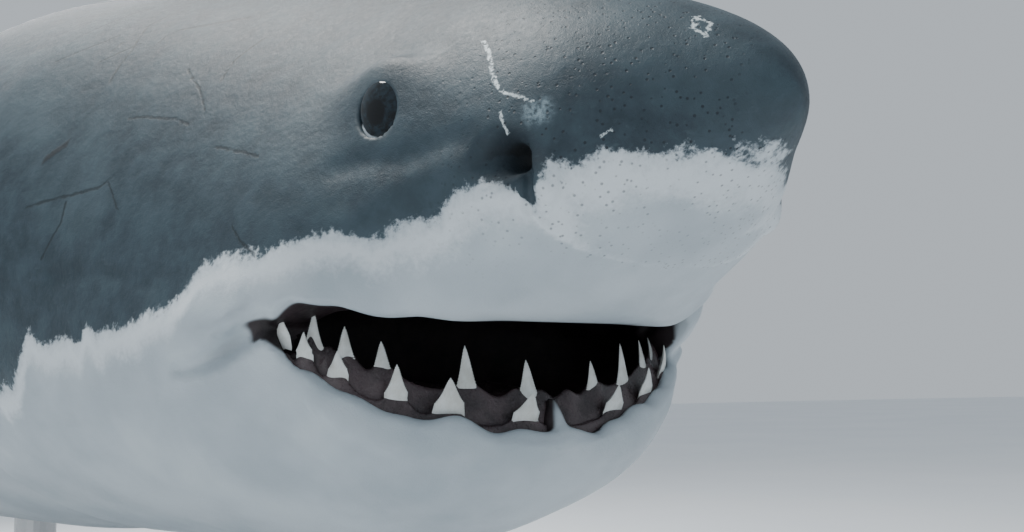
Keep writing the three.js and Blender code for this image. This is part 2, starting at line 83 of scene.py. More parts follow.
# aft of the chin, bottom, half width
JAW_SECTIONS = (
    (0.0, -5.85, 0.0),
    (0.15, -6.25, 1.8),
    (0.4, -6.65, 3.0),
    (0.9, -7.08, 4.2),
    (1.4, -7.4, 4.95),
    (2.45, -7.84, 5.7),
    (3.9, -8.27, 6.15),
    (5.9, -8.5, 6.7),
    (8.4, -8.62, 7.25),
    (13.0, -8.75, 7.95),
    (19.5, -8.9, 8.3),
)
CHIN = 6.1
MOUTH_CORNER = 8.35
JAW_ARCH_HALF = 5.55
HEAD_END = 16.6  # where the head's fine mesh hands over to the body's rings
BODY_END = 88.4
INSET = 0.03  # the skin lies this far inside the solids
BEYOND = 12.0  # farther out than any point of the trunk
MIN_FIN_EDGE = 1.2  # mm
FIN_FOOT = 0.09  # the part of a fin's span over which its foot flares out
TOOTH_ROOT = 14  # mm, hidden in the gum


# ---------------- curves
def monotone_curve(xs, ys):
    """A smooth curve through points that never overshoots them."""
    xs, ys = np.asarray(xs, float), np.asarray(ys, float)
    slope = np.diff(ys) / np.diff(xs)
    a, b = slope[:-1], slope[1:]
    rising = a * b > 0
    middle = np.where(rising, 2 * a * b / np.where(rising, a + b, 1), 0)
    tangent = np.concatenate((slope[:1], middle, slope[-1:]))

    def curve(x):
        i = np.clip(np.searchsorted(xs, x, side="right") - 1, 0, len(xs) - 2)
        width = xs[i + 1] - xs[i]
        t = (x - xs[i]) / width
        rise = t * t * (3 - 2 * t)
        lift = tangent[i] * t * (1 - t) ** 2 - tangent[i + 1] * t * t * (1 - t)
        return ys[i] * (1 - rise) + ys[i + 1] * rise + width * lift

    return curve


def section_curve(table, column):
    """One column of a table of sections, as a function of the station."""
    curve = monotone_curve([math.sqrt(row[0]) for row in table], [row[column] for row in table])
    last = table[-1][0]
    return lambda aft: curve(np.sqrt(np.clip(aft, 0, last)))


BODY_CURVES = [section_curve(BODY_SECTIONS, column) for column in range(1, 7)]
JAW_CURVES = [section_curve(JAW_SECTIONS, column) for column in (1, 2)]


def easing(at, start, end):
    """0 before start, 1 after end, and a half cosine between."""
    return (1 - np.cos(np.pi * np.clip((at - start) / (end - start), 0, 1))) / 2


# where each sideways set starts and is full, and its depth
BEND, SWING = (6, 45, 3.2), (45, 105, 6.9)
TRUNK = {"depth": 1.8, "from": 14, "full": 42, "to": 90}


def sway(aft):
    """The trunk's bend to the right and the tail's return to the left."""
    bend, swing = [depth * easing(aft, start, full) for start, full, depth in (BEND, SWING)]
    trunk = easing(aft, TRUNK["from"], TRUNK["full"]) - easing(aft, TRUNK["full"], TRUNK["to"])
    return swing - bend - TRUNK["depth"] * trunk


def place(points):
    """Body points (aft, left, up) as metres in the row frame."""
    aft, left, up = np.asarray(points, float).T
    return SNOUT + PERCENT * np.stack((-aft, left + sway(aft), up), axis=-1)


def near(distance, width):
    """A bell of height 1 where distance is 0."""
    return np.exp(-((distance / width) ** 2))


def step(value, start, end):
    """A smooth step from 0 at start to 1 at end."""
    t = np.clip((value - start) / (end - start), 0, 1)
    return t * t * (3 - 2 * t)


LOWER_LIP_FRONT, LOWER_LIP_RISE = -5.74, 1.035  # its height at the chin, and its climb aft
UPPER_LIP, LIP_ARCH, LIP_ARCH_AT, LIP_ARCH_SPREAD = -3.45, 0.34, 7.2, 0.7


def lower_lip(aft):
    return LOWER_LIP_FRONT + LOWER_LIP_RISE * np.maximum(aft - CHIN, 0)


def upper_lip(aft):
    return UPPER_LIP + LIP_ARCH * near(aft - LIP_ARCH_AT, LIP_ARCH_SPREAD)


def smooth_min(a, b, radius):
    """The smaller of two fields, rounded where they meet."""
    h = np.clip(radius - np.abs(a - b), 0, None) / radius
    return np.minimum(a, b) - h * h * radius / 4


def smooth_max(a, b, radius):
    return -smooth_min(-a, -b, radius)


LEFT_DRAW_IN = 0.2  # the jaw's left side lies this much nearer the middle


def jaw_arch(side, inset):
    """(aft, left) on the lower jaw's tooth arch; side runs from -1, right corner, to 1."""
    turn = side * math.pi / 2
    depth = MOUTH_CORNER - CHIN - inset
    left = (JAW_ARCH_HALF - inset) * np.sin(turn)
    return MOUTH_CORNER - depth * np.cos(turn), left - LEFT_DRAW_IN * step(left, 0, 4)


def arch_side(aft, left):
    """Place round the jaw's arch: -1 right corner, 0 chin, 1 left corner."""
    left = left + LEFT_DRAW_IN * step(left, 0, 4)
    depth = MOUTH_CORNER - CHIN
    turn = np.arctan2(left / JAW_ARCH_HALF, np.maximum(MOUTH_CORNER - aft, 1e-3) / depth)
    return turn * 2 / np.pi


def arch_inset(aft, left):
    """Distance inwards from the arch."""
    left = left + LEFT_DRAW_IN * step(left, 0, 4)
    wide, deep = JAW_ARCH_HALF, MOUTH_CORNER - CHIN
    ahead = np.maximum(MOUTH_CORNER - aft, 0)
    ring = np.hypot(left / wide, ahead / deep)
    slope = np.maximum(np.hypot(left / wide**2, ahead / deep**2), 1e-4)
    return (1 - ring) * ring / slope


# ---------------- flesh as a field
def section_field(left, up, top, bottom, half, level, over, under):
    """Negative inside a rounded section with its own fullness above and below its level."""
    below = up < level
    reach = np.maximum(np.where(below, level - bottom, top - level) - INSET, 1e-3)
    half = np.maximum(half - INSET, 1e-3)
    power = np.where(below, under, over)
    around = (np.abs(left) / half) ** power + (np.abs(up - level) / reach) ** power
    return (around ** (1 / power) - 1) * np.minimum(half, reach)


def ellipsoid_field(aft, left, up, centre, radii):
    scaled = [(v - c) / r for v, c, r in zip((aft, left, up), centre, radii)]
    return (np.sqrt(sum(s * s for s in scaled)) - 1) * min(radii)


def jaw_field(aft, left, up):
    """The lower jaw and throat below the lip line, closed into the head behind the mouth."""
    behind = aft - CHIN
    bottom, half = [curve(behind) for curve in JAW_CURVES]
    half = np.where(behind > 0, half, 0)
    half = half - LEFT_DRAW_IN * step(left, 1.5, 4) * step(aft, 10.5, 8) * step(half, 0, 3)
    rear = step(aft, MOUTH_CORNER, 11.0)
    level = np.maximum(lower_lip(np.minimum(aft, MOUTH_CORNER)) - 0.15, bottom + 0.01)
    top = level + np.clip(2 * behind, 0.01, 0.9) + 5.5 * rear
    field = section_field(left, up, top, bottom, half, level, 1.95, 1.95)
    return np.where(behind > 0, field, np.maximum(field, -behind))


def lip_edge(side):
    """Height of the lower lip's scalloped edge by the place round the arch."""
    line = lower_lip(MOUTH_CORNER - (MOUTH_CORNER - CHIN) * np.cos(side * math.pi / 2))
    lift = 0.1 - 0.17 * step(side, -0.33, -0.43) + 0.1 * near(side + 0.3, 0.05)
    lift = lift - 0.07 * near(side + 0.19, 0.05) + 0.03 * np.sin(40 * side)
    lift = lift - 0.12 * near(side - 0.14, 0.06) + 0.08 * near(side - 0.33, 0.06)
    return line + lift * step(np.abs(side), 1.0, 0.8)


def lip_roof(aft, left):
    """Height of the upper lip; it arches further on the left side and is slightly uneven."""
    side = step(left, 2.9, 4.3) * step(aft, 4.5, 5.6) * step(aft, 8.5, 7.4)
    wave = 0.035 * np.sin(6.3 * aft + 2.1 * np.abs(left)) * step(np.abs(left), 1.0, 3.0)
    return upper_lip(aft) + 0.7 * side + wave


def gape_field(aft, left, up):
    """The open mouth: everything between the upper lip and the trough inside the lower lip."""
    side = arch_side(aft, left)
    trough = 0.04 + 0.4 * step(arch_inset(aft, left), 0.2, 0.45)
    floor = lip_edge(side) - trough * step(np.abs(side), 1.0, 0.9)
    gape = np.maximum(up - lip_roof(aft, left), (floor - up) / 1.25)
    return smooth_max(gape, 0.8 * (aft - 8.2), 0.15)


def lip_tube(aft, left, up):
    """The rounded, scalloped rim of the lower lip, with its peak at the chin."""
    side = arch_side(aft, left)
    level = lip_edge(side) - 0.13
    drop = np.where(up < level, 0.3, 1.0) * (up - level)
    rim = np.hypot(arch_inset(aft, left) - 0.2, drop) - 0.13 + 0.4 * step(np.abs(side), 0.7, 0.95)
    height = np.clip((up + 5.8) / 0.94, 0, 1)
    peak = np.hypot(aft - 6.5 - 0.1 * height, left - 0.12) - 0.36 * (1 - height) ** 0.75
    peak = np.maximum(peak, np.maximum(up + 4.86, -5.9 - up))
    return smooth_min(rim, peak, 0.12)


def corner_fold(aft, left, up, closed):
    """The fold of skin that closes the left corner of the mouth."""
    sheet = smooth_max(closed, -0.34 - closed, 0.1)
    front = np.maximum(0.8 * (6.35 - aft), 4.0 - 0.6 * (up + 3.0) - left)
    return smooth_max(sheet, front, 0.15)


# The crease that runs back from each corner of the mouth
CREASE = ((8.0, -5.75, -3.48), (8.63, -5.86, -3.71), (9.27, -5.97, -3.96), (9.94, -6.09, -4.11),
          (10.6, -6.24, -4.18))


def corner_crease(aft, side, up):
    """The groove of the crease, narrower further back."""
    reach = np.clip(0.29 - 0.065 * (aft - 8.1), 0.08, 0.29)
    return polyline_distance((aft, side, up), CREASE) - reach


def cavity_field(aft, left, up):
    """The inside of the mouth, wide right up to the lips."""
    turn = (aft - 8.9) / np.where(aft < 8.9, 2.5, 3.7)
    level = -4.2 + 0.5 * turn
    power = 2.7
    around = np.abs(left / 5.0) ** power + np.abs((up - level) / 1.95) ** power
    return ((around + np.abs(turn) ** power) ** (1 / power) - 1) * 2.0


EYE = np.array((6.07, -4.205, 0.32))  # the right eye's middle, on the surface
EYE_OUT = np.array((-0.33, -0.93, 0.03))
EYE_OPENING = (0.44, 0.53, 0.3)  # half length, half height, depth


def eye_axes():
    """Unit vectors forward, up and out of the right eye, in body points."""
    out = EYE_OUT / np.linalg.norm(EYE_OUT)
    up = np.array((0.24, 0, 1.0))
    up -= (up @ out) * out
    up /= np.linalg.norm(up)
    return np.cross(up, out), up, out


def eye_field(aft, side, up, radii, out=0.0):
    """An ellipsoid with the eye's axes, moved out from the eye's middle."""
    offset = (aft - EYE[0], side - EYE[1], up - EYE[2])
    scaled = []
    for axis, radius, shift in zip(eye_axes(), radii, (0, 0, out)):
        reach = offset[0] * axis[0] + offset[1] * axis[1] + offset[2] * axis[2]
        scaled.append((reach - shift) / radius)
    return (np.sqrt(sum(s * s for s in scaled)) - 1) * min(radii)


NOSTRIL, NOSTRIL_RADII = (3.3, -3.3, -0.95), (0.27, 0.55, 0.27)
FUNNEL, FUNNEL_RADII = (3.42, -3.66, -0.93), (0.62, 0.4, 0.52)
NOSTRIL_FLAP, FLAP_RADII = (2.9, -2.95, -1.4), (0.2, 0.17, 0.3)
BROW_RADII = (1.0, 1.15, 0.3)  # the soft swelling round the eye
SLIT = ((3.16, -3.24, -1.02), (3.07, -3.16, -1.22), (3.13, -3.1, -1.5), (3.25, -3.02, -1.8))


def polyline_distance(points, line):
    """Distance of points (aft, left, up arrays) from a line through corners."""
    aft, left, up = points
    best = None
    for a, b in zip(line, line[1:]):
        a, b = np.array(a), np.array(b)
        run = b - a
        t = ((aft - a[0]) * run[0] + (left - a[1]) * run[1] + (up - a[2]) * run[2]) / (run @ run)
        t = np.clip(t, 0, 1)
        gap = (aft - a[0] - t * run[0]) ** 2 + (left - a[1] - t * run[1]) ** 2
        gap = gap + (up - a[2] - t * run[2]) ** 2
        best = gap if best is None else np.minimum(best, gap)
    return np.sqrt(best)


def closed_flesh(aft, left, up):
    """Head, throat and jaw as one filled body."""
    body = section_field(left, up, *[curve(aft) for curve in BODY_CURVES])
    jaw = jaw_field(aft, left, up) + 0.5 * np.maximum(aft - 20, 0)
    return smooth_min(body, jaw, 0.3)


def mouth_parts(aft, left, up):
    """Head, throat and jaw with the mouth open."""
    closed = closed_flesh(aft, left, up)
    whole = smooth_max(closed, -gape_field(aft, left, up), 0.14)
    cavity = smooth_max(cavity_field(aft, left, up), closed + 0.42, 0.2)
    whole = smooth_max(whole, -cavity, 0.2)
    whole = smooth_min(whole, lip_tube(aft, left, up), 0.2)
    return smooth_min(whole, corner_fold(aft, left, up, closed), 0.12)


def flesh(aft, left, up):
    """Negative inside the body; mouth, eye sockets and nostrils are open."""
    side = -np.abs(left)
    whole = smooth_max(mouth_parts(aft, left, up), -corner_crease(aft, side, up), 0.14)
    flap = ellipsoid_field(aft, side - 0.1 * (left > 0), up, NOSTRIL_FLAP, FLAP_RADII)
    whole = smooth_min(whole, flap, 0.25)
    whole = smooth_min(whole, eye_field(aft, side, up, BROW_RADII, -0.25), 0.3)
    whole = smooth_max(whole, -eye_field(aft, side, up, EYE_OPENING), 0.07)
    funnel = ellipsoid_field(aft, side, up, FUNNEL, FUNNEL_RADII)
    pit = ellipsoid_field(aft, side, up, NOSTRIL, NOSTRIL_RADII)
    slit = polyline_distance((aft, side, up), SLIT) - 0.075
    opening = smooth_min(smooth_min(pit, slit, 0.1), funnel, 0.15)
    return smooth_max(whole, -opening, 0.12)


# ---------------- folds and marks
def flank(aft, up):
    """The body point on the right side at a station and height."""
    low, high = 0.0, BEYOND
    for _ in range(24):
        reach = (low + high) / 2
        low, high = (reach, high) if closed_flesh(aft, -reach, up) < 0 else (low, reach)
    return aft, -low, up


# Soft folds on both sides: width, height (negative for a groove), then aft and up
FOLDS = (
    (0.26, -0.06, ((6.7, -0.66), (6.0, -0.6), (5.47, -0.68), (4.99, -0.61), (4.2, -0.46))),
    (0.36, 0.035, ((6.3, -1.65), (5.7, -1.36), (5.16, -1.15), (4.6, -0.85))),
    (0.6, 0.12, ((8.6, -3.0), (9.3, -3.2), (10.2, -3.4), (11.2, -3.45))),
    (0.14, -0.05, ((17.1, -6.0), (16.25, -5.26), (15.33, -5.21), (14.5, -5.14))),
    (0.2, -0.05, ((14.93, -2.0), (14.0, -1.97), (13.1, -2.01), (12.4, -2.16), (11.3, -2.43))),
)
# Fine marks on the right side only: aft and up along each
SCAR = (((3.47, 0.19), (3.64, 0.31), (3.81, 0.59), (3.92, 0.81), (4.08, 1.11), (4.32, 1.38)),)
SCAR_THIN = (
    ((3.0, -0.04), (3.24, 0.09), (3.47, 0.19)),
    ((3.36, -0.51), (3.44, -0.35), (3.51, -0.15)),
    ((1.98, -0.66), (2.06, -0.72)),
    ((1.3, 1.34), (1.07, 1.2), (1.0, 0.91)),
    ((1.0, 0.91), (1.21, 1.08), (1.3, 1.34)),
)
WOUND = (((15.8, 1.04), (15.61, 1.16), (15.37, 1.3)),)
# dark lines: scratches, and creases whose shade is painted along them
FINE_LINES = (
    ((16.0, -0.16), (15.25, -0.08), (14.42, -0.05), (13.57, -0.01), (13.17, 0.24)),
    ((13.33, 0.08), (13.04, -0.27), (12.79, -0.6)),
    ((14.67, -0.21), (14.7, -0.68), (14.99, -1.07), (15.26, -1.46)),
    ((13.51, 1.67), (13.0, 1.6), (11.96, 1.35), (11.47, 1.14)),
    ((10.26, 0.39), (9.57, 0.2), (8.77, -0.07)),
    ((8.84, -1.52), (8.54, -1.81), (8.1, -2.13)),
    ((17.68, 4.07), (17.65, 4.28)),
    ((15.08, 2.94), (15.22, 3.46), (15.3, 3.9), (15.81, 4.79)),
    ((15.81, 4.79), (15.7, 5.1), (15.36, 5.26)),
    ((16.03, 3.72), (15.71, 3.89), (15.26, 4.1)),
    ((14.63, 3.85), (14.63, 4.18)),
    ((14.63, 4.18), (14.38, 4.34), (13.54, 4.3), (12.43, 4.26)),
    ((17.76, 4.08), (17.4, 4.45), (16.65, 4.5), (16.41, 4.66)),
    ((18.13, 4.83), (17.87, 5.37), (17.07, 5.83)),
    ((11.29, 2.14), (11.36, 2.74), (11.09, 3.23)),
    ((12.63, 2.75), (11.75, 2.04), (11.19, 1.43)),
)


def relief(points):
    """How far the folds raise or lower each point."""
    aft, left, up = points.T
    total = np.zeros(len(points))
    for width, height, line in FOLDS:
        line = [flank(*corner) for corner in line]
        gap = polyline_distance((aft, -np.abs(left), up), line)
        total += height * near(gap, width)
    return total


# ---------------- mesh of the field
def graded_axis(low, high, spacing):
    ticks = [low]
    while ticks[-1] < high:
        ticks.append(ticks[-1] + spacing(ticks[-1]))
    return np.array(ticks)


HEAD_AXES = (
    graded_axis(-0.2, HEAD_END + 0.1, lambda aft: 0.12 + 0.012 * max(aft - 9, 0)),
    graded_axis(-8.2, 8.2, lambda left: 0.12 if 2.2 < abs(left) < 6.2 else 0.16),
    graded_axis(-9.1, 7.6, lambda up: 0.12 if -7.2 < up < 1.6 else 0.17),
)


def surface_nets(axes, field):
    """Vertices (body points) and quads of the field's zero surface."""
    shape = np.array(field.shape) - 1
    inside = field < 0
    corners = np.zeros(shape, np.int8)
    for offset in product((0, 1), repeat=3):
        part = tuple(slice(o, o + n) for o, n in zip(offset, shape))
        corners += inside[part]
    active = (corners > 0) & (corners < 8)
    cells = np.argwhere(active)
    index = np.full(shape, -1)
    index[active] = np.arange(len(cells))
    total, crossings = np.zeros((len(cells), 3)), np.zeros(len(cells))
    for axis in range(3):
        unit = np.eye(3, dtype=int)[axis]
        others = [a for a in range(3) if a != axis]
        for offset in product((0, 1), repeat=2):
            start = cells.copy()
            start[:, others] += offset
            a, b = field[tuple(start.T)], field[tuple((start + unit).T)]
            cross = (a < 0) != (b < 0)
            t = np.where(cross, a / np.where(cross, a - b, 1), 0)
            total += np.where(cross[:, None], start + t[:, None] * unit, 0)
            crossings += cross
    points = total / crossings[:, None]
    points = np.stack([np.interp(p, np.arange(len(x)), x) for p, x in zip(points.T, axes)], -1)
    quads = []
    for axis in range(3):
        u, v = [(1, 2), (2, 0), (0, 1)][axis]
        ahead = [slice(None)] * 3
        ahead[axis] = slice(1, None)
        behind = [slice(None)] * 3
        behind[axis] = slice(0, -1)
        change = inside[tuple(behind)] != inside[tuple(ahead)]
        edges = np.argwhere(change)
        edges = edges[(edges[:, u] > 0) & (edges[:, v] > 0)]
        edges = edges[(edges[:, u] < shape[u]) & (edges[:, v] < shape[v])]
        outward = inside[tuple(edges.T)]
        ring = []
        for du, dv in ((-1, -1), (0, -1), (0, 0), (-1, 0)):
            cell = edges.copy()
            cell[:, u] += du
            cell[:, v] += dv
            ring.append(index[tuple(cell.T)])
        quad = np.stack(ring, -1)
        quad[~outward] = quad[~outward, ::-1]
        quads.append(quad)
    return points, np.concatenate(quads)


def field_gradient(points):
    """The slope of the flesh field at each point."""
    reach = 0.02
    slopes = []
    for offset in reach * np.eye(3):
        ahead, behind = (points + offset).T, (points - offset).T
        slopes.append((flesh(*ahead) - flesh(*behind)) / (2 * reach))
    return np.stack(slopes, -1)


def pull_to_surface(points, held=None):
    """One step of every point towards the field's zero surface; held points keep their station."""
    gradient = field_gradient(points)
    size = np.maximum((gradient**2).sum(-1), 0.2)
    shift = -(flesh(*points.T) / size)[:, None] * gradient
    if held is not None:
        shift[held, 0] = 0
    return points + np.clip(shift, -0.06, 0.06)


def settle(points, quads):
    """Evens the mesh out and puts it back on the surface."""
    pairs = np.concatenate([quads[:, [i, (i + 1) % 4]] for i in range(4)])
    count = np.maximum(np.bincount(pairs[:, 0], minlength=len(points)), 1)[:, None]
    rear = points[:, 0] > HEAD_AXES[0][-2] - 0.2
    for _ in range(3):
        around = [np.bincount(pairs[:, 0], points[pairs[:, 1], k], len(points)) for k in range(3)]
        moved = (points + np.stack(around, -1) / count) / 2
        points = pull_to_surface(np.where(rear[:, None], points, moved), rear)
    return points


def fine_region(points):
    """Where the head's mesh is made twice as fine: eyes, nostrils and the rims of the mouth."""
    aft, left, up = points.T
    side = -np.abs(left)
    eye = np.linalg.norm(np.stack((aft, side, up), -1) - EYE, axis=1) < 1.0
    nose = polyline_distance((aft, side, up), (NOSTRIL,) + SLIT) < 0.6
    rim = np.hypot(arch_inset(aft, left) - 0.15, up - lower_lip(aft) + 0.1) < 0.5
    peak = np.linalg.norm(points - (6.3, -0.24, -5.4), axis=1) < 0.7
    roof = (np.abs(up - lip_roof(aft, left)) < 0.25) & (aft < 9.2) & (aft > 5.0)
    return eye | nose | (rim & (aft < 8.4)) | peak | roof


def head_mesh():
    """The head as an even mesh on the field's surface, finer round the features."""
    grid = np.ix_(*HEAD_AXES)
    points, quads = surface_nets(HEAD_AXES, flesh(*grid))
    points = settle(points, quads)
    bm = bmesh.new()
    corners = [bm.verts.new(p) for p in points]
    for quad in quads:
        bm.faces.new([corners[i] for i in quad])
    chosen = fine_region(points)
    bm.verts.index_update()
    edges = [e for e in bm.edges if chosen[e.verts[0].index] and chosen[e.verts[1].index]]
    bmesh.ops.subdivide_edges(bm, edges=edges, cuts=1, use_grid_fill=True)
    bm.verts.index_update()
    points = np.array([v.co for v in bm.verts])
    faces = [[v.index for v in f.verts] for f in bm.faces]
    bm.free()
    touched = fine_region(points)
    for _ in range(3):
        points[touched] = pull_to_surface(points[touched])
    gradient = field_gradient(points)
    outward = gradient / np.maximum(np.linalg.norm(gradient, axis=1, keepdims=True), 1e-6)
    points = points + outward * (relief(points) * (points[:, 0] < HEAD_END - 0.5))[:, None]
    rim = boundary_loop(quads)
    for _ in range(4):
        points[rim] = (np.roll(points[rim], 1, 0) + 2 * points[rim] + np.roll(points[rim], -1, 0)) / 4
    return points, faces, rim


# ---------------- body rings
BODY_SIDES = 118


def ring_points(aft):
    """A ring of skin points round the body at one station."""
    angle = 2 * np.pi * (np.arange(BODY_SIDES) + 0.5) / BODY_SIDES
    level = BODY_CURVES[3](aft)
    low, high = np.zeros(BODY_SIDES), np.full(BODY_SIDES, BEYOND)
    for _ in range(26):
        reach = (low + high) / 2
        inside = flesh(aft, reach * np.cos(angle), level + reach * np.sin(angle)) < 0
        low, high = np.where(inside, reach, low), np.where(inside, high, reach)
    left, up = low * np.cos(angle), level + low * np.sin(angle)
    return np.stack((np.full(BODY_SIDES, float(aft)), left, up), -1)


KEEL = {"aft": 81.5, "half_length": 6.3, "out": 2.9, "height": 0.3}


def add_keels(points):
    """The flat keel along each side of the tail stalk."""
    aft, left, up = points.T
    along = np.clip(1 - ((aft - KEEL["aft"]) / KEEL["half_length"]) ** 2, 0, None)
    extra = np.maximum(KEEL["out"] * np.sqrt(along) - np.abs(left), 0) * near(up, KEEL["height"])
    return np.stack((aft, left + np.sign(left) * extra, up), -1)


GILLS = {"first": 18.6, "spacing": 1.28, "count": 5, "up": -1.9, "half": 3.8}


def cut_gills(points):
    """Each gill slit's flap stands up ahead of it and dips behind it."""
    aft, _, up = points.T
    number = (aft - GILLS["first"] + 0.08 * (up - GILLS["up"])) / GILLS["spacing"]
    place_in_flap = number - np.floor(number)
    region = (number > -0.6) & (number < GILLS["count"] - 0.35)
    along = np.clip(1 - ((up - GILLS["up"]) / GILLS["half"]) ** 2, 0, 1) ** 0.5
    rise = 0.13 * place_in_flap**2 - 0.24 * near(place_in_flap - 0.03, 0.11)
    rise = rise - 0.22 * near(place_in_flap - 1.0, 0.06)
    return np.where(region, along * rise, 0)


def body_mesh():
    """Rings of skin from the head's rear to the tail, with their depth inside the gill slits, which the skin
    darkens as painted shade.
    """
    gill_region, trunk = np.arange(HEAD_END + 0.5, 26, 0.16), np.arange(26, BODY_END - 1, 0.8)
    stations = np.concatenate((gill_region, trunk, np.linspace(BODY_END - 1, BODY_END, 4)))
    rings, depths = [], []
    for aft in stations:
        ring = ring_points(aft)
        centre = np.array((aft, 0, BODY_CURVES[3](aft)))
        out = ring - centre
        out /= np.linalg.norm(out, axis=1, keepdims=True)
        cut = cut_gills(ring)
        # the slits' depth, which becomes painted shade in the skin
        depths.append(-1.7 * cut)
        rings.append(add_keels(ring + out * cut[:, None]))
    sides = np.arange(BODY_SIDES)
    after = (sides + 1) % BODY_SIDES
    quads = []
    for ring in range(len(rings) - 1):
        base, behind = ring * BODY_SIDES, (ring + 1) * BODY_SIDES
        quads.append(np.stack((base + sides, behind + sides, behind + after, base + after), -1))
    points = np.concatenate(rings)
    rim = len(points) - BODY_SIDES
    cap = [(rim + i, rim + (i + 1) % BODY_SIDES, len(points)) for i in range(BODY_SIDES)]
    points = np.append(points, points[rim:].mean(axis=0, keepdims=True), axis=0)
    return points, np.concatenate(quads)[:, ::-1].tolist() + cap, np.append(np.concatenate(depths), 0)


def boundary_loop(quads):
    """The open edge of a mesh, as vertex numbers in order."""
    edges = np.concatenate([quads[:, [i, (i + 1) % 4]] for i in range(4)])
    seen = set(map(tuple, edges.tolist()))
    follow = {b: a for a, b in seen if (b, a) not in seen}
    loops = []
    while follow:
        start = next(iter(follow))
        loop = [start]
        at = follow.pop(start)
        while at != start and at in follow:
            loop.append(at)
            at = follow.pop(at)
        loops.append(loop)
    return max(loops, key=len)


def turned_ring(points, ring):
    """A closed ring started at the left flank, with each vertex's angle, ever growing."""
    aft, left, up = points[ring].T
    turn = np.arctan2(up - BODY_CURVES[3](aft), left)
    if np.sum(np.diff(np.unwrap(turn))) < 0:
        ring, turn = ring[::-1], turn[::-1]
    start = np.argmin(np.abs(turn))
    ring, turn = np.roll(ring, -start), np.unwrap(np.roll(turn, -start))
    turn = np.maximum.accumulate(turn)
    return np.append(ring, ring[0]), np.append(turn, turn[0] + 2 * np.pi)


def zip_loops(points, front, rear):
    """Triangles between two rings of vertices, matched by their angle round the body."""
    front, front_turn = turned_ring(points, np.array(front))
    rear, rear_turn = turned_ring(points, np.array(rear))
    faces, i, j = [], 0, 0
    while i < len(front) - 1 or j < len(rear) - 1:
        rear_done = j == len(rear) - 1
        if rear_done or (i < len(front) - 1 and front_turn[i + 1] < rear_turn[j + 1]):
            faces.append((front[i], front[i + 1], rear[j]))
            i += 1
        else:
            faces.append((front[i], rear[j + 1], rear[j]))
            j += 1
    return faces


def facing_out(points, faces):
    """The faces, all turned over if they enclose a negative volume."""
    placed = place(points) - SNOUT
    longest = max(len(face) for face in faces)
    table = np.array([tuple(face) + (face[-1],) * (longest - len(face)) for face in faces])
    first = placed[table[:, 0]]
    volume = 0.0
    for k in range(1, longest - 1):
        volume += (first * np.cross(placed[table[:, k]], placed[table[:, k + 1]])).sum()
    return faces if volume > 0 else [tuple(face)[::-1] for face in faces]


def grid_faces(rows, columns):
    """Quads of a grid that closes on itself along its columns."""
    here = np.arange(columns)
    after = (here + 1) % columns
    ring = np.stack((here, after, after + columns, here + columns), -1)
    return np.concatenate([ring + row * columns for row in range(rows - 1)]).tolist()


def capped(points, faces, rows, columns):
    """Closes both ends of a grid of rings with fans."""
    points = np.array(points)
    first, last = points[:columns].mean(axis=0), points[-columns:].mean(axis=0)
    low, high, base = len(points), len(points) + 1, (rows - 1) * columns
    for i in range(columns):
        after = (i + 1) % columns
        faces.append((after, i, low))
        faces.append((base + i, base + after, high))
    return np.concatenate((points, [first, last])), faces


# ---------------- fins
def foil(along):
    """Thickness along a fin's chord, 1 at the thickest place."""
    return np.sqrt(along) * (1 - along) / 0.385


def fin_mesh(lead, trail, thickness, at, rings=36, steps=20):
    """A closed fin from root to tip; its foot flares out into the body."""
    chord = (1 - np.cos(np.linspace(0, np.pi, steps))) / 2
    points = []
    for span in np.linspace(0, 1, rings) ** 0.9:
        flare = 1 + 1.1 * near(span, FIN_FOOT)
        thick = np.maximum(thickness(span) * flare * foil(chord), MIN_FIN_EDGE) / PERCENT_MM / 2
        start, end = lead(span), trail(span)
        aft = start + (end - start) * chord
        points += [at(a, span, t) for a, t in zip(aft, thick)]
        points += [at(a, span, -t) for a, t in zip(aft[::-1], thick[::-1])]
    return capped(points, grid_faces(rings, 2 * steps), rings, 2 * steps)


def middle_fin(sign, foot, height, lead, trail, thickness, **mesh):
    """An upright fin in the body's middle plane; sign is -1 where it hangs down."""
    def at(aft, s, through):
        return aft, sign * through, sign * (foot + height * s)

    return fin_mesh(lead, trail, thickness, at, **mesh)


def dorsal_fin():
    return middle_fin(
        1, 8.2, 10.9,
        lambda s: 37.0 + 6.9 * s + 2.8 * s**3,
        lambda s: 46.2 + 4.2 * (1 - s) ** 7 + 1.4 * s**3,
        lambda s: 58 * (1 - s) + 8,
    )


def small_fin(sign, start, foot, height):
    """The second dorsal fin, or the anal fin where sign is -1."""
    return middle_fin(
        sign, foot, height,
        lambda s: start + 1.9 * s + 0.5 * s * s,
        lambda s: start + 2.5 + 1.9 * (1 - s) ** 4 + 0.5 * s,
        lambda s: 18 * (1 - s) + 4,
        rings=16,
        steps=14,
    )


def paired_fin(sign, foot_out, foot_up, span, droop, lead, trail, thickness, **mesh):
    """A fin that stands out from the flank and droops by an angle."""
    def at(aft, s, through):
        out = foot_out + span * s * math.cos(droop) + through * math.sin(droop)
        up = foot_up - span * s * math.sin(droop) + through * math.cos(droop)
        return aft, sign * out, up

    return fin_mesh(lead, trail, thickness, at, **mesh)


def pectoral_fin(sign):
    return paired_fin(
        sign, 5.6, -4.3, 18.6, 0.46,
        lambda s: 24.6 + 10.5 * s + 5.0 * s**2.4,
        lambda s: 32.6 + 2.2 * near(s - 0.17, 0.1) + 4.6 * s + 3.5 * s**3,
        lambda s: 62 * (1 - s) ** 0.8 + 8,
    )


def pelvic_fin(sign):
    return paired_fin(
        sign, 2.6, -4.6, 5.6, 0.75,
        lambda s: 56.2 + 3.6 * s,
        lambda s: 60.4 + 1.2 * s - 0.5 * math.sin(math.pi * s),
        lambda s: 26 * (1 - s) + 5,
        rings=22,
        steps=18,
    )


def tail_thickness(s):
    return 50 * (1 - s) ** 1.2 + 8


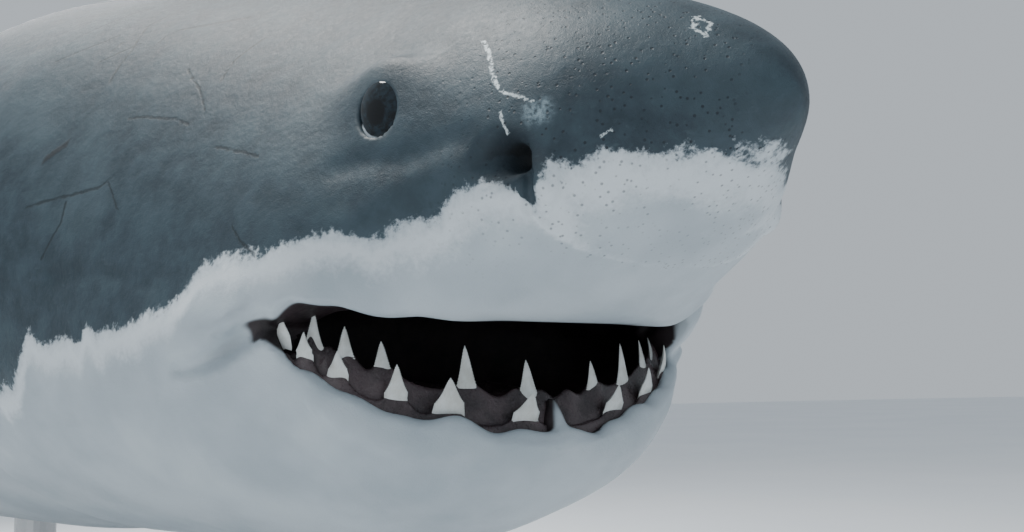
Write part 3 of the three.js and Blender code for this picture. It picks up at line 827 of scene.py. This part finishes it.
def upper_tail_lobe():
    lead, trail = lambda s: 82.6 + 13.6 * s + 2.8 * s * s, lambda s: 89.6 + 8.6 * s + 1.8 * s**6
    return middle_fin(1, 0, 15.8, lead, trail, tail_thickness)


def lower_tail_lobe():
    lead, trail = lambda s: 83.0 + 9.6 * s + 1.8 * s * s, lambda s: 89.6 + 4.6 * s + 1.2 * s**4
    return middle_fin(-1, 0, 13.6, lead, trail, tail_thickness)


# ---------------- building pieces
def mesh_object(name, points, faces):
    mesh = bpy.data.meshes.new(name)
    mesh.from_pydata([tuple(p) for p in points], [], [tuple(int(i) for i in f) for f in faces])
    mesh.update()
    mesh.shade_smooth()
    piece = bpy.data.objects.new(name, mesh)
    bpy.context.scene.collection.objects.link(piece)
    return piece


def set_attribute(piece, name, values):
    """Keeps a number or a point for each vertex, which the materials read."""
    values = np.asarray(values, np.float32)
    kind, key = ("FLOAT", "value") if values.ndim == 1 else ("FLOAT_VECTOR", "vector")
    piece.data.attributes.new(name, kind, "POINT").data.foreach_set(key, values.ravel())


# aft and height of the ragged edge between the dark back and the pale belly
COLOUR_EDGE = (
    (0.0, -0.85), (0.75, -0.95), (0.95, -1.1), (1.1, -0.94), (1.24, -0.97), (1.57, -1.13),
    (1.8, -1.1), (2.06, -0.96), (2.29, -1.1), (2.39, -1.22), (2.5, -1.1), (2.7, -1.17),
    (2.82, -1.32), (2.93, -1.5), (3.07, -1.62), (3.2, -1.84), (3.28, -1.84), (3.31, -1.44),
    (3.41, -1.36), (3.95, -1.29), (4.2, -1.35), (4.5, -1.52), (4.75, -1.76), (5.15, -1.82), (5.4, -1.87),
    (5.7, -1.97), (6.05, -1.99), (6.4, -1.85), (7.1, -1.93), (8.0, -2.06), (9.0, -2.11),
    (9.5, -2.14), (9.9, -2.49), (10.45, -2.91), (11.2, -2.95), (11.6, -3.27), (12.5, -3.24),
    (13.1, -3.4), (13.4, -3.05), (13.75, -3.55), (14.1, -3.41), (14.9, -3.48), (15.4, -3.34),
    (15.8, -3.1), (16.1, -3.7), (16.7, -4.35), (17.5, -4.5), (18.6, -3.9), (20.2, -4.4),
    (22.0, -3.4), (24.5, -2.2), (28.0, -2.7), (33.0, -3.2), (38.0, -2.4), (43.0, -3.1),
    (49.0, -2.2), (54.0, -2.7), (59.0, -1.7), (65.0, -1.9), (72.0, -1.0), (80.0, -0.5),
    (86.0, -0.4), (105.0, -6.0),
)


def edge_height(points):
    """How far each point of the body stands above the colour edge."""
    aft, left, up = points.T
    edge = np.interp(aft, *np.array(COLOUR_EDGE).T)
    uneven = 0.13 * np.sin(1.9 * aft + 0.6) + 0.08 * np.sin(4.7 * aft) + 0.06 * np.sin(9.1 * aft + 1)
    edge = edge + np.where((left > 0) | (aft > 17.5), uneven * np.clip(aft / 6, 0.3, 1.3), 0)
    return up - edge


def paired_shade(mesh, tip, steps):
    """Pectoral and pelvic fins are dark above, and pale below with a dark tip."""
    points = mesh[0]
    upper = np.arange(len(points)) % (2 * steps) < steps
    below = np.clip((np.abs(points[:, 1]) - tip) * 0.8, -1.5, 1.5)
    return np.where(upper, 1.5, below)


FLESH_NODES = (
    "head", "gill_region", "trunk", "abdomen", "tail_stalk", "lower_jaw",
    "first_dorsal_fin", "second_dorsal_fin", "anal_fin",
    "pectoral_fin_left", "pectoral_fin_right", "pelvic_fin_left", "pelvic_fin_right",
    "tail_fin_upper", "tail_fin_lower",
)


def fins():
    """Every fin's mesh with its height over the colour edge, for the markings."""
    def shaded(mesh, shade):
        return mesh, np.broadcast_to(shade, len(mesh[0]))

    return (
        shaded(dorsal_fin(), 3.0),
        shaded(small_fin(1, 71.4, 2.9, 2.7), 3.0),
        shaded(small_fin(-1, 74.6, 2.2, 2.8), -2.0),
        *((mesh, paired_shade(mesh, 19.0, 20)) for mesh in (pectoral_fin(1), pectoral_fin(-1))),
        *((mesh, paired_shade(mesh, 6.6, 18)) for mesh in (pelvic_fin(1), pelvic_fin(-1))),
        shaded(upper_tail_lobe(), 3.0),
        shaded(lower_tail_lobe(), 3.0),
    )


def head_depth_and_shade(points):
    """Depth below the closed body, which the skin darkens as painted shade; more at the mouth's corner,
    where the shade is deep, and along the crease behind it.
    """
    aft, left, up = points.T
    depth = -closed_flesh(*points.T)
    # painted shade deep in the mouth's corner
    corner = step(aft, 6.7, 7.3) * step(up, -4.25, -3.9) * step(aft, 8.6, 8.3)
    crease = polyline_distance((aft, -np.abs(left), up), CREASE)
    # painted shade along the crease behind each corner of the mouth
    shade = 0.27 * near(crease, 0.17) * step(aft, 10.6, 9.0)
    return depth + 0.3 * corner * step(depth, 0.03, 0.1) + shade


def build_skin():
    """One mesh for all of the flesh, with the heights and depths that its material reads; the depths become
    painted shade.
    """
    head_points, faces, rim = head_mesh()
    body_points, body_faces, body_depth = body_mesh()
    points = np.concatenate((head_points, body_points))
    shift = len(head_points)
    faces += [[i + shift for i in face] for face in body_faces]
    faces += zip_loops(points, rim, np.arange(BODY_SIDES) + shift)
    faces = facing_out(points, faces)
    shade = edge_height(points)
    depth = np.concatenate((head_depth_and_shade(head_points), body_depth))
    for (fin_points, fin_faces), fin_tone in fins():
        shift = len(points)
        points = np.concatenate((points, fin_points))
        shade = np.concatenate((shade, fin_tone))
        faces += [[i + shift for i in face] for face in facing_out(fin_points, fin_faces)]
    piece = add_piece("skin", points, faces, FLESH_NODES)
    set_attribute(piece, "shade", shade)
    set_attribute(piece, "depth", np.concatenate((depth, np.zeros(len(points) - len(depth)))))
    return piece


def add_piece(name, points, faces, replaced):
    """A piece that stands in for CAD nodes; its vertices keep their straightened body points."""
    piece = mesh_object(name, place(points), faces)
    set_attribute(piece, "body", points)
    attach(piece, "root")
    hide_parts(*replaced)
    return piece


# ---------------- eyes, teeth, gums, tongue
def ball_angles(rows, columns, pole):
    """Angles down from one pole and round the axis, for a grid of rings."""
    down = np.linspace(pole, math.pi - pole, rows)[:, None]
    return down, np.linspace(0, 2 * math.pi, columns, endpoint=False)[None, :]


EYEBALL = (0.68, 0.82, 0.38)
EYE_DEPTH = 0.24


def build_eye(side):
    """A flattened ball behind the eye's opening; side is 1 for the left one."""
    rows, columns = 36, 64
    down, round_ = ball_angles(rows, columns, 0.03)
    local = np.stack(np.broadcast_arrays(
        np.sin(down) * np.cos(round_), np.sin(down) * np.sin(round_), np.cos(down)
    ), -1).reshape(-1, 3) * EYEBALL
    local[:, 2] -= EYE_DEPTH
    local, faces = capped(local, grid_faces(rows, columns), rows, columns)
    points = EYE + local @ np.array(eye_axes())
    points[:, 1] *= -side
    name = "eye_left" if side > 0 else "eye_right"
    piece = add_piece(name + "_ball", points, facing_out(points, faces), [name])
    set_attribute(piece, "eye", local)
    return piece


TOOTH_ROWS = (
    # inset, lean outwards, lift, then each tooth's place on the arch, height, width and tilt
    (0.3, 0.35, 0.16, (
        (-0.9, 19, 21, 0), (-0.775, 21, 20, 0), (-0.64, 20, 22, 0), (-0.455, 27, 23, 0),
        (-0.305, 25, 33, 0), (-0.085, 18, 31, 0.35), (0.245, 18, 30, 0.3), (0.45, 22, 29, 0),
        (0.66, 27, 24, -0.5),
    )),
    (0.62, 0.05, 0.03, (
        (-0.79, 46, 27, 0), (-0.645, 44, 29, 0), (-0.51, 40, 29, 0), (-0.245, 49, 30, 0),
        (-0.05, 39, 30, 0), (0.205, 36, 28, 0), (0.375, 48, 29, 0), (0.55, 42, 28, -0.1),
        (0.7, 32, 26, -0.2),
    )),
)
OUTER_TEETH, INNER_TEETH = [[tooth[0] for tooth in row[3]] for row in TOOTH_ROWS]


def build_tooth(side, height, width, tilt, inset, lean, lift):
    """One serrated, flattened tooth with its root in the gum."""
    rows, columns = 46, 20
    size = 1 - 0.45 * abs(side) ** 1.5
    height, width, root = height * size / PERCENT_MM, width * size / PERCENT_MM, TOOTH_ROOT / PERCENT_MM
    tall = np.linspace(-root, height, rows)
    taper = np.clip(1 - tall / height, 0, None)
    half = width / 2 * np.where(tall > 0, taper**0.92, 1 - 0.25 * (tall / root) ** 2)
    half = half * (1 - 0.17 * np.sin(np.pi * np.clip(taper, 0, 1)))
    half = half + 0.009 * np.cos(np.arange(rows) * math.pi) * (tall > 0) * (taper > 0.04)
    thick = 0.115 * size * np.where(tall > 0, np.clip(taper, 0, 1) ** 0.7, 1)
    turn = 2 * math.pi * np.arange(columns) / columns
    across = np.cos(turn)
    through = np.sin(turn) * np.where(np.sin(turn) > 0, 0.45, 1.0)
    ring = [
        np.stack((h * across, t * through * (1 - across**2) ** 0.2, np.full(columns, z)), -1)
        for h, t, z in zip(half + 0.004, thick + 0.004, tall)
    ]
    points = np.concatenate(ring)
    points, faces = capped(points, grid_faces(rows, columns), rows, columns)
    # crowns bend slightly inwards, and bases arch over the gum
    points[:, 1] -= 0.09 * np.clip(points[:, 2] / height, 0, 1) ** 2
    points[:, 2] -= 0.5 * np.abs(points[:, 0]) * (points[:, 2] < 0.02)
    points[:, 0] += math.tan(tilt) * np.clip(points[:, 2], 0, None)
    aft, left = jaw_arch(side, inset)
    ahead, behind = jaw_arch(side + 0.02, inset), jaw_arch(side - 0.02, inset)
    along = np.array((ahead[0] - behind[0], ahead[1] - behind[1], 0))
    along /= np.linalg.norm(along)
    outward = np.array((-along[1], along[0], 0))
    vertical = np.array((0, 0, 1.0))
    upward = vertical * math.cos(lean) + outward * math.sin(lean)
    outward = outward * math.cos(lean) - vertical * math.sin(lean)
    seat = np.array((aft, left, lower_lip(aft) + lift))
    points = seat + points @ np.stack((along, outward, upward))
    return points, facing_out(points, faces)


def build_teeth():
    points, faces = np.zeros((0, 3)), []
    for inset, lean, lift, row in TOOTH_ROWS:
        for tooth in row:
            more, more_faces = build_tooth(*tooth, inset, lean, lift)
            faces += [[i + len(points) for i in face] for face in more_faces]
            points = np.concatenate((points, more))
    return add_piece("teeth", points, faces, ["lower_jaw"])


def gum_height(side, inset):
    """Height of the gum over the lip line: a low outer ridge, a groove and a high inner ridge."""
    outer_collar = sum(near(side - tooth, 0.045) for tooth in OUTER_TEETH)
    inner_collar = sum(near(side - tooth, 0.04) for tooth in INNER_TEETH)
    lobes = 0.5 + 0.5 * np.cos(44 * side + 3 * np.sin(9 * side))
    outer = (0.28 + 0.34 * outer_collar) * near(inset - 0.35 + 0.02 * lobes, 0.085)
    inner = (0.62 + 0.14 * inner_collar + 0.14 * lobes) * near(inset - 0.63, 0.16)
    knobs = 0.13 * lobes * near(inset - 0.5, 0.05)
    fade = step(np.abs(side), 1.0, 0.75)
    return -0.48 + fade * (outer + inner + knobs) - 0.7 * step(inset, 0.75, 1.3)


def build_gums():
    """The gum inside the lip, in which both rows of teeth stand."""
    sides, insets = np.linspace(-0.965, 0.965, 460), np.linspace(0.26, 1.3, 44)
    under = np.linspace(1.25, 0.3, 8)
    rings = []
    for side in sides:
        aft, left = jaw_arch(side, np.concatenate((insets, under)))
        height = np.concatenate((gum_height(side, insets), -0.55 - 0.6 * under))
        rings.append(np.stack((aft, left, lower_lip(aft) + height), -1))
    points = np.concatenate(rings)
    points, faces = capped(points, grid_faces(len(sides), 52), len(sides), 52)
    return add_piece("gums", points, facing_out(points, faces), ["lower_jaw"])


def build_tongue():
    """A broad low tongue with a shallow groove and slight folds."""
    rows, columns = 60, 72
    down, turn = ball_angles(rows, columns, 0.04)
    along, round_ = -np.cos(down) + 0 * turn, np.sin(down) ** 0.8
    left = 3.5 * round_ * np.cos(turn)
    up = round_ * np.sin(turn)
    up = np.where(up > 0, 1.05 * up - 0.16 * near(left, 0.5) * up, 0.35 * up)
    up = up + 0.04 * np.sin(5 * left + 3 * along) * np.sin(7 * along) * (up > 0)
    aft = 10.1 + 2.3 * along
    points = np.stack((aft, left, -5.55 + up + 0.2 * along), -1).reshape(-1, 3)
    points, faces = capped(points, grid_faces(rows, columns), rows, columns)
    return add_piece("tongue_body", points, facing_out(points, faces), ["tongue"])


skin = build_skin()
eyes = [build_eye(1), build_eye(-1)]
teeth, gums, tongue = build_teeth(), build_gums(), build_tongue()


# ---------------- materials
# what a curve node's 0 stands for, and how much its range covers, in aft and up
MARK_LOW, MARK_SPAN = -8.0, 24.0


class Looks:
    """A short way to write a material's nodes."""

    def __init__(self, name, roughness=0.5, specular=0.5, metallic=0.0):
        self.material = bpy.data.materials.new(name)
        self.material.use_nodes = True
        self.tree = self.material.node_tree
        self.shader = self.tree.nodes["Principled BSDF"]
        self.shader.inputs["Roughness"].default_value = roughness
        self.shader.inputs["Specular IOR Level"].default_value = specular
        self.shader.inputs["Metallic"].default_value = metallic

    def add(self, kind, inputs=(), out=0, **settings):
        node = self.tree.nodes.new(kind)
        for key, value in settings.items():
            setattr(node, key, value)
        for key, value in dict(inputs).items():
            if isinstance(value, bpy.types.NodeSocket):
                self.tree.links.new(value, node.inputs[key])
            else:
                node.inputs[key].default_value = value
        return node.outputs[out]

    def math(self, operation, a, b=0.0, c=0.0):
        return self.add("ShaderNodeMath", {0: a, 1: b, 2: c}, operation=operation)

    def times(self, a, b):
        return self.math("MULTIPLY", a, b)

    def plus(self, a, b):
        return self.math("ADD", a, b)

    def vector(self, operation, a, b=(0, 0, 0), out=0):
        return self.add("ShaderNodeVectorMath", {0: a, 1: b}, out, operation=operation)

    def ramp(self, value, low, high, start=0.0, end=1.0):
        inputs = {"Value": value, "From Min": low, "From Max": high, "To Min": start, "To Max": end}
        return self.add("ShaderNodeMapRange", inputs, interpolation_type="SMOOTHSTEP")

    def mix(self, factor, a, b):
        a, b = [(*c, 1.0) if isinstance(c, tuple) and len(c) == 3 else c for c in (a, b)]
        return self.add("ShaderNodeMix", {0: factor, 6: a, 7: b}, 2, data_type="RGBA")

    def attribute(self, name, out=2):
        return self.add("ShaderNodeAttribute", (), out, attribute_name=name)

    def noise(self, where, scale, detail=4.0, roughness=0.55):
        inputs = {"Vector": where, "Scale": scale, "Detail": detail, "Roughness": roughness}
        return self.add("ShaderNodeTexNoise", inputs)

    def stretched(self, where, stretch):
        return self.vector("MULTIPLY", where, stretch)

    def marks(self, body, lines, width, wobble):
        """1 on a set of lines on the right flank, given by aft and up, fading over their width."""
        scale, shift = 1 / MARK_SPAN, -MARK_LOW / MARK_SPAN
        place_in = [self.math("MULTIPLY_ADD", self.split(body, axis), scale, shift) for axis in (0, 2)]
        nearest = None
        for line in lines:
            line = (np.array(line) - MARK_LOW) / MARK_SPAN
            axis = 0 if np.ptp(line[:, 0]) >= np.ptp(line[:, 1]) else 1
            line = line[np.argsort(line[:, axis])]
            node = self.tree.nodes.new("ShaderNodeFloatCurve")
            self.tree.links.new(place_in[axis], node.inputs["Value"])
            curve = node.mapping.curves[0]
            while len(curve.points) < len(line):
                curve.points.new(0.5, 0.5)
            for point, corner in zip(curve.points, line):
                point.location = (corner[axis], corner[1 - axis])
                point.handle_type = "VECTOR"
            node.mapping.update()
            gap = self.math("ABSOLUTE", self.math("SUBTRACT", place_in[1 - axis], node.outputs[0]))
            low, high = line[0, axis], line[-1, axis]
            beyond = self.math("ABSOLUTE", self.math("SUBTRACT", place_in[axis], float(low + high) / 2))
            gap = self.math("MAXIMUM", gap, self.math("SUBTRACT", beyond, float(high - low) / 2))
            nearest = gap if nearest is None else self.math("MINIMUM", nearest, gap)
        nearest = self.math("MULTIPLY_ADD", nearest, MARK_SPAN, wobble)
        on_right = self.ramp(self.split(body, 1), -0.5, -0.3, 1.0, 0.0)
        return self.times(self.ramp(nearest, width * 0.3, width, 1.0, 0.0), on_right)

    def split(self, vector, axis):
        return self.add("ShaderNodeSeparateXYZ", {0: vector}, axis)

    def bump(self, height, strength, distance, normal=None):
        inputs = {"Height": height, "Strength": strength, "Distance": distance}
        if normal is not None:
            inputs["Normal"] = normal
        return self.add("ShaderNodeBump", inputs)

    def finish(self, colour=None, roughness=None, normal=None):
        for name, socket in (("Base Color", colour), ("Roughness", roughness), ("Normal", normal)):
            if socket is not None:
                self.tree.links.new(socket, self.shader.inputs[name])
        return self.material


SLATE, SLATE_DARK, SLATE_LIGHT = (0.036, 0.06, 0.076), (0.018, 0.032, 0.043), (0.066, 0.1, 0.118)
# belly tones: an off-white kept greyer, partly as painted shade of the underside, and a painted highlight
# for the band just below the colour edge
BELLY, BELLY_SHADE, BELLY_RIM_HIGHLIGHT = (0.45, 0.505, 0.54), (0.33, 0.385, 0.425), (0.66, 0.71, 0.74)
# pores; painted shade round the nostril's funnel; a pale patch
PORE, NOSTRIL_FUNNEL_SHADE, PALE_PATCH = (0.012, 0.02, 0.028), (0.008, 0.014, 0.02), (0.3, 0.4, 0.45)
# scratches and painted shade in creases; white scars; a dark wound
SCRATCH_AND_CREASE_SHADE, SCAR_WHITE, WOUND_DARK = (0.008, 0.014, 0.018), (0.7, 0.78, 0.8), (0.02, 0.025, 0.03)
# near-black painted shade for skin that lies deep, and for the nostril pits
LINING_SHADE_DEEP, LINING_SHADE_SOFT, NOSTRIL_PIT_SHADE = (0.008, 0.006, 0.007), (0.028, 0.019, 0.022), (0.005, 0.007, 0.009)


def skin_material():
    look = Looks("shark_skin", specular=0.32)
    body, shade = look.attribute("body", 1), look.attribute("shade")
    broad, middle = look.noise(body, 0.35, 3), look.noise(body, 1.6, 6, 0.65)
    fine, grain = look.noise(body, 9.0, 5, 0.7), look.noise(body, 38.0, 3, 0.6)
    streaks = look.noise(look.stretched(body, (0.5, 3.0, 3.0)), 2.4, 5, 0.6)

    # the ragged edge between back and belly
    height = look.plus(shade, look.times(look.math("SUBTRACT", middle, 0.5), 0.75))
    height = look.plus(height, look.times(look.math("SUBTRACT", fine, 0.5), 0.5))
    back = look.ramp(height, -0.07, 0.09)
    # the band just below the colour edge, where a painted highlight goes
    rim = look.ramp(look.math("ABSOLUTE", look.plus(height, 0.35)), 0.0, 0.5, 1.0, 0.0)

    tone = look.mix(look.ramp(middle, 0.3, 0.72), SLATE_DARK, SLATE)
    tone = look.mix(look.ramp(broad, 0.42, 0.75, 0.0, 0.45), tone, SLATE_LIGHT)
    tone = look.mix(look.ramp(streaks, 0.58, 0.78, 0.0, 0.4), tone, SLATE_LIGHT)
    pale = look.mix(look.ramp(broad, 0.3, 0.7), BELLY, BELLY_SHADE)
    pale = look.mix(look.ramp(fine, 0.62, 0.8, 0.0, 0.3), pale, BELLY_SHADE)
    # painted highlight: a pale band just below the colour edge
    pale = look.mix(look.times(rim, 0.7), pale, BELLY_RIM_HIGHLIGHT)
    colour = look.mix(back, pale, tone)

    # pores round the snout, on both sides of the edge
    aft, left, up = [look.split(body, axis) for axis in range(3)]
    cells = look.add("ShaderNodeTexVoronoi", {"Vector": body, "Scale": 7.5}, 0)
    near_snout = look.times(look.ramp(aft, 3.4, 5.4, 1.0, 0.0), look.ramp(aft, 0.25, 0.7))
    near_snout = look.times(near_snout, look.ramp(middle, 0.32, 0.44))
    near_snout = look.times(near_snout, look.ramp(shade, -1.5, -0.5))
    pores = look.times(look.ramp(cells, 0.12, 0.25, 1.0, 0.0), near_snout)
    faint = look.times(pores, look.math("MULTIPLY_ADD", back, 0.45, 0.5))
    colour = look.mix(faint, colour, PORE)

    # painted shade round the nostril's funnel, and the pale patch above it
    mirrored = look.add("ShaderNodeCombineXYZ", {0: aft, 1: look.math("ABSOLUTE", left), 2: up})
    shade_gap = look.vector("DISTANCE", mirrored, (3.36, 3.38, -0.9), out=1)
    funnel_shade = look.ramp(shade_gap, 0.2, 0.72, 0.97, 0.0)
    colour = look.mix(funnel_shade, colour, NOSTRIL_FUNNEL_SHADE)
    patch_gap = look.vector("DISTANCE", body, (2.88, -3.1, -0.28), out=1)
    patch_gap = look.plus(patch_gap, look.math("MULTIPLY_ADD", middle, 0.9, -0.45))
    patch = look.times(look.ramp(patch_gap, 0.02, 0.4, 0.75, 0.0), look.ramp(fine, 0.35, 0.6))
    colour = look.mix(patch, colour, PALE_PATCH)

    # scars, scratches, and creases whose shade is painted as dark lines
    wobble = look.math("MULTIPLY_ADD", fine, 0.16, -0.08)
    broken = look.ramp(look.noise(body, 11.0, 3), 0.4, 0.52)
    scar = look.times(look.marks(body, SCAR, 0.065, wobble), broken)
    thin = look.times(look.marks(body, SCAR_THIN, 0.04, wobble), broken)
    lines = look.marks(body, FINE_LINES, 0.055, wobble)
    lines = look.times(lines, look.ramp(look.noise(body, 3.0, 4), 0.25, 0.48))
    wound = look.marks(body, WOUND, 0.14, wobble)
    # dark lines: scratches, and painted shade in creases
    colour = look.mix(look.times(lines, 0.75), colour, SCRATCH_AND_CREASE_SHADE)
    colour = look.mix(look.math("MAXIMUM", scar, look.times(thin, 0.7)), colour, SCAR_WHITE)
    colour = look.mix(wound, colour, WOUND_DARK)

    # painted shade: deep inside the mouth, nostrils, gill slits and sockets the skin turns near black
    inside = look.ramp(look.attribute("depth"), 0.12, 0.34)
    lining_shade = look.mix(look.ramp(middle, 0.3, 0.7), LINING_SHADE_DEEP, LINING_SHADE_SOFT)
    lining_shade = look.mix(look.ramp(aft, 4.2, 4.7, 1.0, 0.0), lining_shade, NOSTRIL_PIT_SHADE)
    colour = look.mix(inside, colour, lining_shade)

    rough = look.plus(look.ramp(fine, 0.2, 0.8, 0.4, 0.54), look.times(middle, 0.1))
    rough = look.math("MULTIPLY_ADD", funnel_shade, 0.4, rough)
    deep = look.math("SUBTRACT", look.times(grain, 0.5), look.times(lines, 0.25))
    deep = look.plus(deep, look.times(look.plus(scar, wound), 0.3))
    deep = look.math("SUBTRACT", deep, look.times(pores, 0.5))
    normal = look.bump(middle, 0.35, 0.004)
    normal = look.bump(deep, 0.5, 0.0012, normal)
    return look.finish(colour, rough, normal)


def eye_material():
    look = Looks("eye_black", roughness=0.05, specular=0.35)
    local = look.attribute("eye", 1)
    scaled = look.stretched(local, (1 / EYE_OPENING[0], 1 / EYE_OPENING[1], 0))
    radius = look.vector("LENGTH", scaled, out=1)
    noise = look.noise(local, 9.0, 5)
    iris = look.times(look.ramp(radius, 0.42, 0.56), look.ramp(noise, 0.3, 0.7))
    colour = look.mix(iris, (0.003, 0.004, 0.005), (0.012, 0.022, 0.03))
    # painted highlight: a pale glint crescent on the rim at the eye's lower rear
    toward = look.vector("DOT_PRODUCT", look.vector("NORMALIZE", scaled), (0.74, -0.67, 0), out=1)
    glint_crescent = look.times(look.ramp(radius, 0.83, 0.9), look.ramp(toward, 0.8, 0.95))
    colour = look.mix(glint_crescent, colour, (0.75, 0.82, 0.86))
    return look.finish(colour, None, look.bump(noise, 0.05, 0.0005))


def tooth_material():
    look = Looks("tooth_enamel", roughness=0.28, specular=0.5)
    body = look.attribute("body", 1)
    cloud, fine = look.noise(body, 3.0, 4), look.noise(look.stretched(body, (9, 9, 1.5)), 6.0, 4)
    colour = look.mix(look.ramp(cloud, 0.3, 0.7), (0.64, 0.67, 0.66), (0.5, 0.51, 0.48))
    colour = look.mix(look.ramp(fine, 0.6, 0.8, 0.0, 0.4), colour, (0.5, 0.48, 0.42))
    return look.finish(colour, look.ramp(fine, 0.2, 0.8, 0.22, 0.38), look.bump(fine, 0.25, 0.0006))


# Gums and tongue: a pinkish flesh tone made very dark, as painted shade of the mouth's inside
def shaded_mouth_material():
    look = Looks("mouth_lining_painted_shade", roughness=0.35, specular=0.5)
    body = look.attribute("body", 1)
    cloud, fine = look.noise(body, 1.4, 5), look.noise(body, 12.0, 5, 0.65)
    colour = look.mix(look.ramp(cloud, 0.35, 0.65), (0.02, 0.014, 0.016), (0.07, 0.05, 0.054))
    colour = look.mix(look.ramp(fine, 0.55, 0.75, 0.0, 0.5), colour, (0.13, 0.1, 0.105))
    normal = look.bump(fine, 0.5, 0.0012, look.bump(cloud, 0.4, 0.004))
    return look.finish(colour, look.ramp(fine, 0.3, 0.7, 0.22, 0.42), normal)


def stand_material():
    look = Looks("stand_paint", roughness=0.5, specular=0.4)
    where = look.add("ShaderNodeTexCoord", (), 3)
    cloud, fine = look.noise(where, 3.0, 5), look.noise(look.stretched(where, (2, 40, 40)), 6.0, 4)
    colour = look.mix(look.ramp(cloud, 0.3, 0.7), (0.05, 0.055, 0.06), (0.075, 0.08, 0.086))
    colour = look.mix(look.ramp(fine, 0.6, 0.8, 0.0, 0.3), colour, (0.1, 0.105, 0.11))
    return look.finish(colour, look.ramp(cloud, 0.2, 0.8, 0.42, 0.6), look.bump(fine, 0.25, 0.0006))


def metal_material():
    look = Looks("stand_steel", roughness=0.35, metallic=1.0)
    where = look.add("ShaderNodeTexCoord", (), 3)
    brushed = look.noise(look.stretched(where, (90, 90, 3)), 8.0, 4)
    cloud = look.noise(where, 6.0, 4)
    colour = look.mix(look.ramp(cloud, 0.3, 0.7), (0.36, 0.37, 0.38), (0.46, 0.47, 0.48))
    return look.finish(colour, look.ramp(brushed, 0.2, 0.8, 0.26, 0.46), look.bump(brushed, 0.3, 0.0003))


def floor_material():
    look = Looks("studio_floor", roughness=0.7, specular=0.25)
    where = look.add("ShaderNodeTexCoord", (), 3)
    cloud, fine = look.noise(where, 0.6, 4), look.noise(where, 60.0, 3)
    colour = look.mix(look.ramp(cloud, 0.3, 0.7), (0.8, 0.83, 0.86), (0.84, 0.865, 0.89))
    return look.finish(colour, look.ramp(fine, 0.2, 0.8, 0.62, 0.78), look.bump(fine, 0.1, 0.0005))


def dress(piece, material):
    """Gives a piece its only material."""
    piece.data.materials.clear()
    piece.data.materials.append(material)


dress(skin, skin_material())
for eye in eyes:
    dress(eye, eye_material())
dress(teeth, tooth_material())
# the gums and tongue get this painted shade
lining_shade, steel = shaded_mouth_material(), metal_material()
for piece in (gums, tongue):
    dress(piece, lining_shade)
for rod in ("stand_rod_front", "stand_rod_rear"):
    dress(bpy.data.objects[rod], steel)
dress(bpy.data.objects["stand_base"], stand_material())

# ---------------- stage, lights, camera
def build_floor():
    """A wide, plain, pale floor."""
    turn = np.linspace(0, 2 * math.pi, 96, endpoint=False)
    points = [(40 * math.cos(t), 40 * math.sin(t), 0.0) for t in turn]
    floor = mesh_object("studio_floor", points, [list(range(96))])
    dress(floor, floor_material())


def area_light(name, place_at, aim, size, power, colour=(1, 1, 1)):
    data = bpy.data.lights.new(name, "AREA")
    data.shape, data.size, data.energy, data.color = "DISK", size, power, colour
    light = bpy.data.objects.new(name, data)
    light.location = place_at
    light.rotation_euler = (Vector(aim) - Vector(place_at)).to_track_quat("-Z", "Y").to_euler()
    bpy.context.scene.collection.objects.link(light)


def build_camera():
    """Below and ahead of the right eye, looking up along the flank."""
    yaw, pitch, roll = [math.radians(angle) for angle in (52.098, 7.182, -1.498)]
    ahead = Vector((-math.sin(yaw) * math.cos(pitch), math.cos(yaw) * math.cos(pitch), math.sin(pitch)))
    right = Vector((math.cos(yaw), math.sin(yaw), 0))
    up = right.cross(ahead)
    right, up = right * math.cos(roll) + up * math.sin(roll), up * math.cos(roll) - right * math.sin(roll)
    data = bpy.data.cameras.new("camera")
    camera = bpy.data.objects.new("camera", data)
    pose = Matrix((right, up, -ahead)).transposed().to_4x4()
    pose.translation = Vector(SNOUT) + Vector((0.402, -0.569, -0.206))
    camera.matrix_world = pose
    data.sensor_width = 36
    data.lens = 18 / math.tan(math.radians(54.608) / 2)
    data.clip_start = 0.02
    bpy.context.scene.collection.objects.link(camera)
    bpy.context.scene.camera = camera


build_floor()
area_light("key", (0.1, -0.9, 4.8), (0.8, 0, 0.9), 1.9, 300, (1.0, 0.99, 0.96))
area_light("rim", (-3.2, 0.3, 2.8), (0.6, 0, 1.0), 2.4, 110)
area_light("front_fill", (4.5, -3.0, 1.6), (1.6, 0, 0.7), 1.2, 16, (0.93, 0.97, 1.0))
world = bpy.data.worlds.new("studio")
world.use_nodes = True
world.node_tree.nodes["Background"].inputs[0].default_value = (0.84, 0.92, 1.0, 1)
world.node_tree.nodes["Background"].inputs[1].default_value = 0.62
bpy.context.scene.world = world
build_camera()
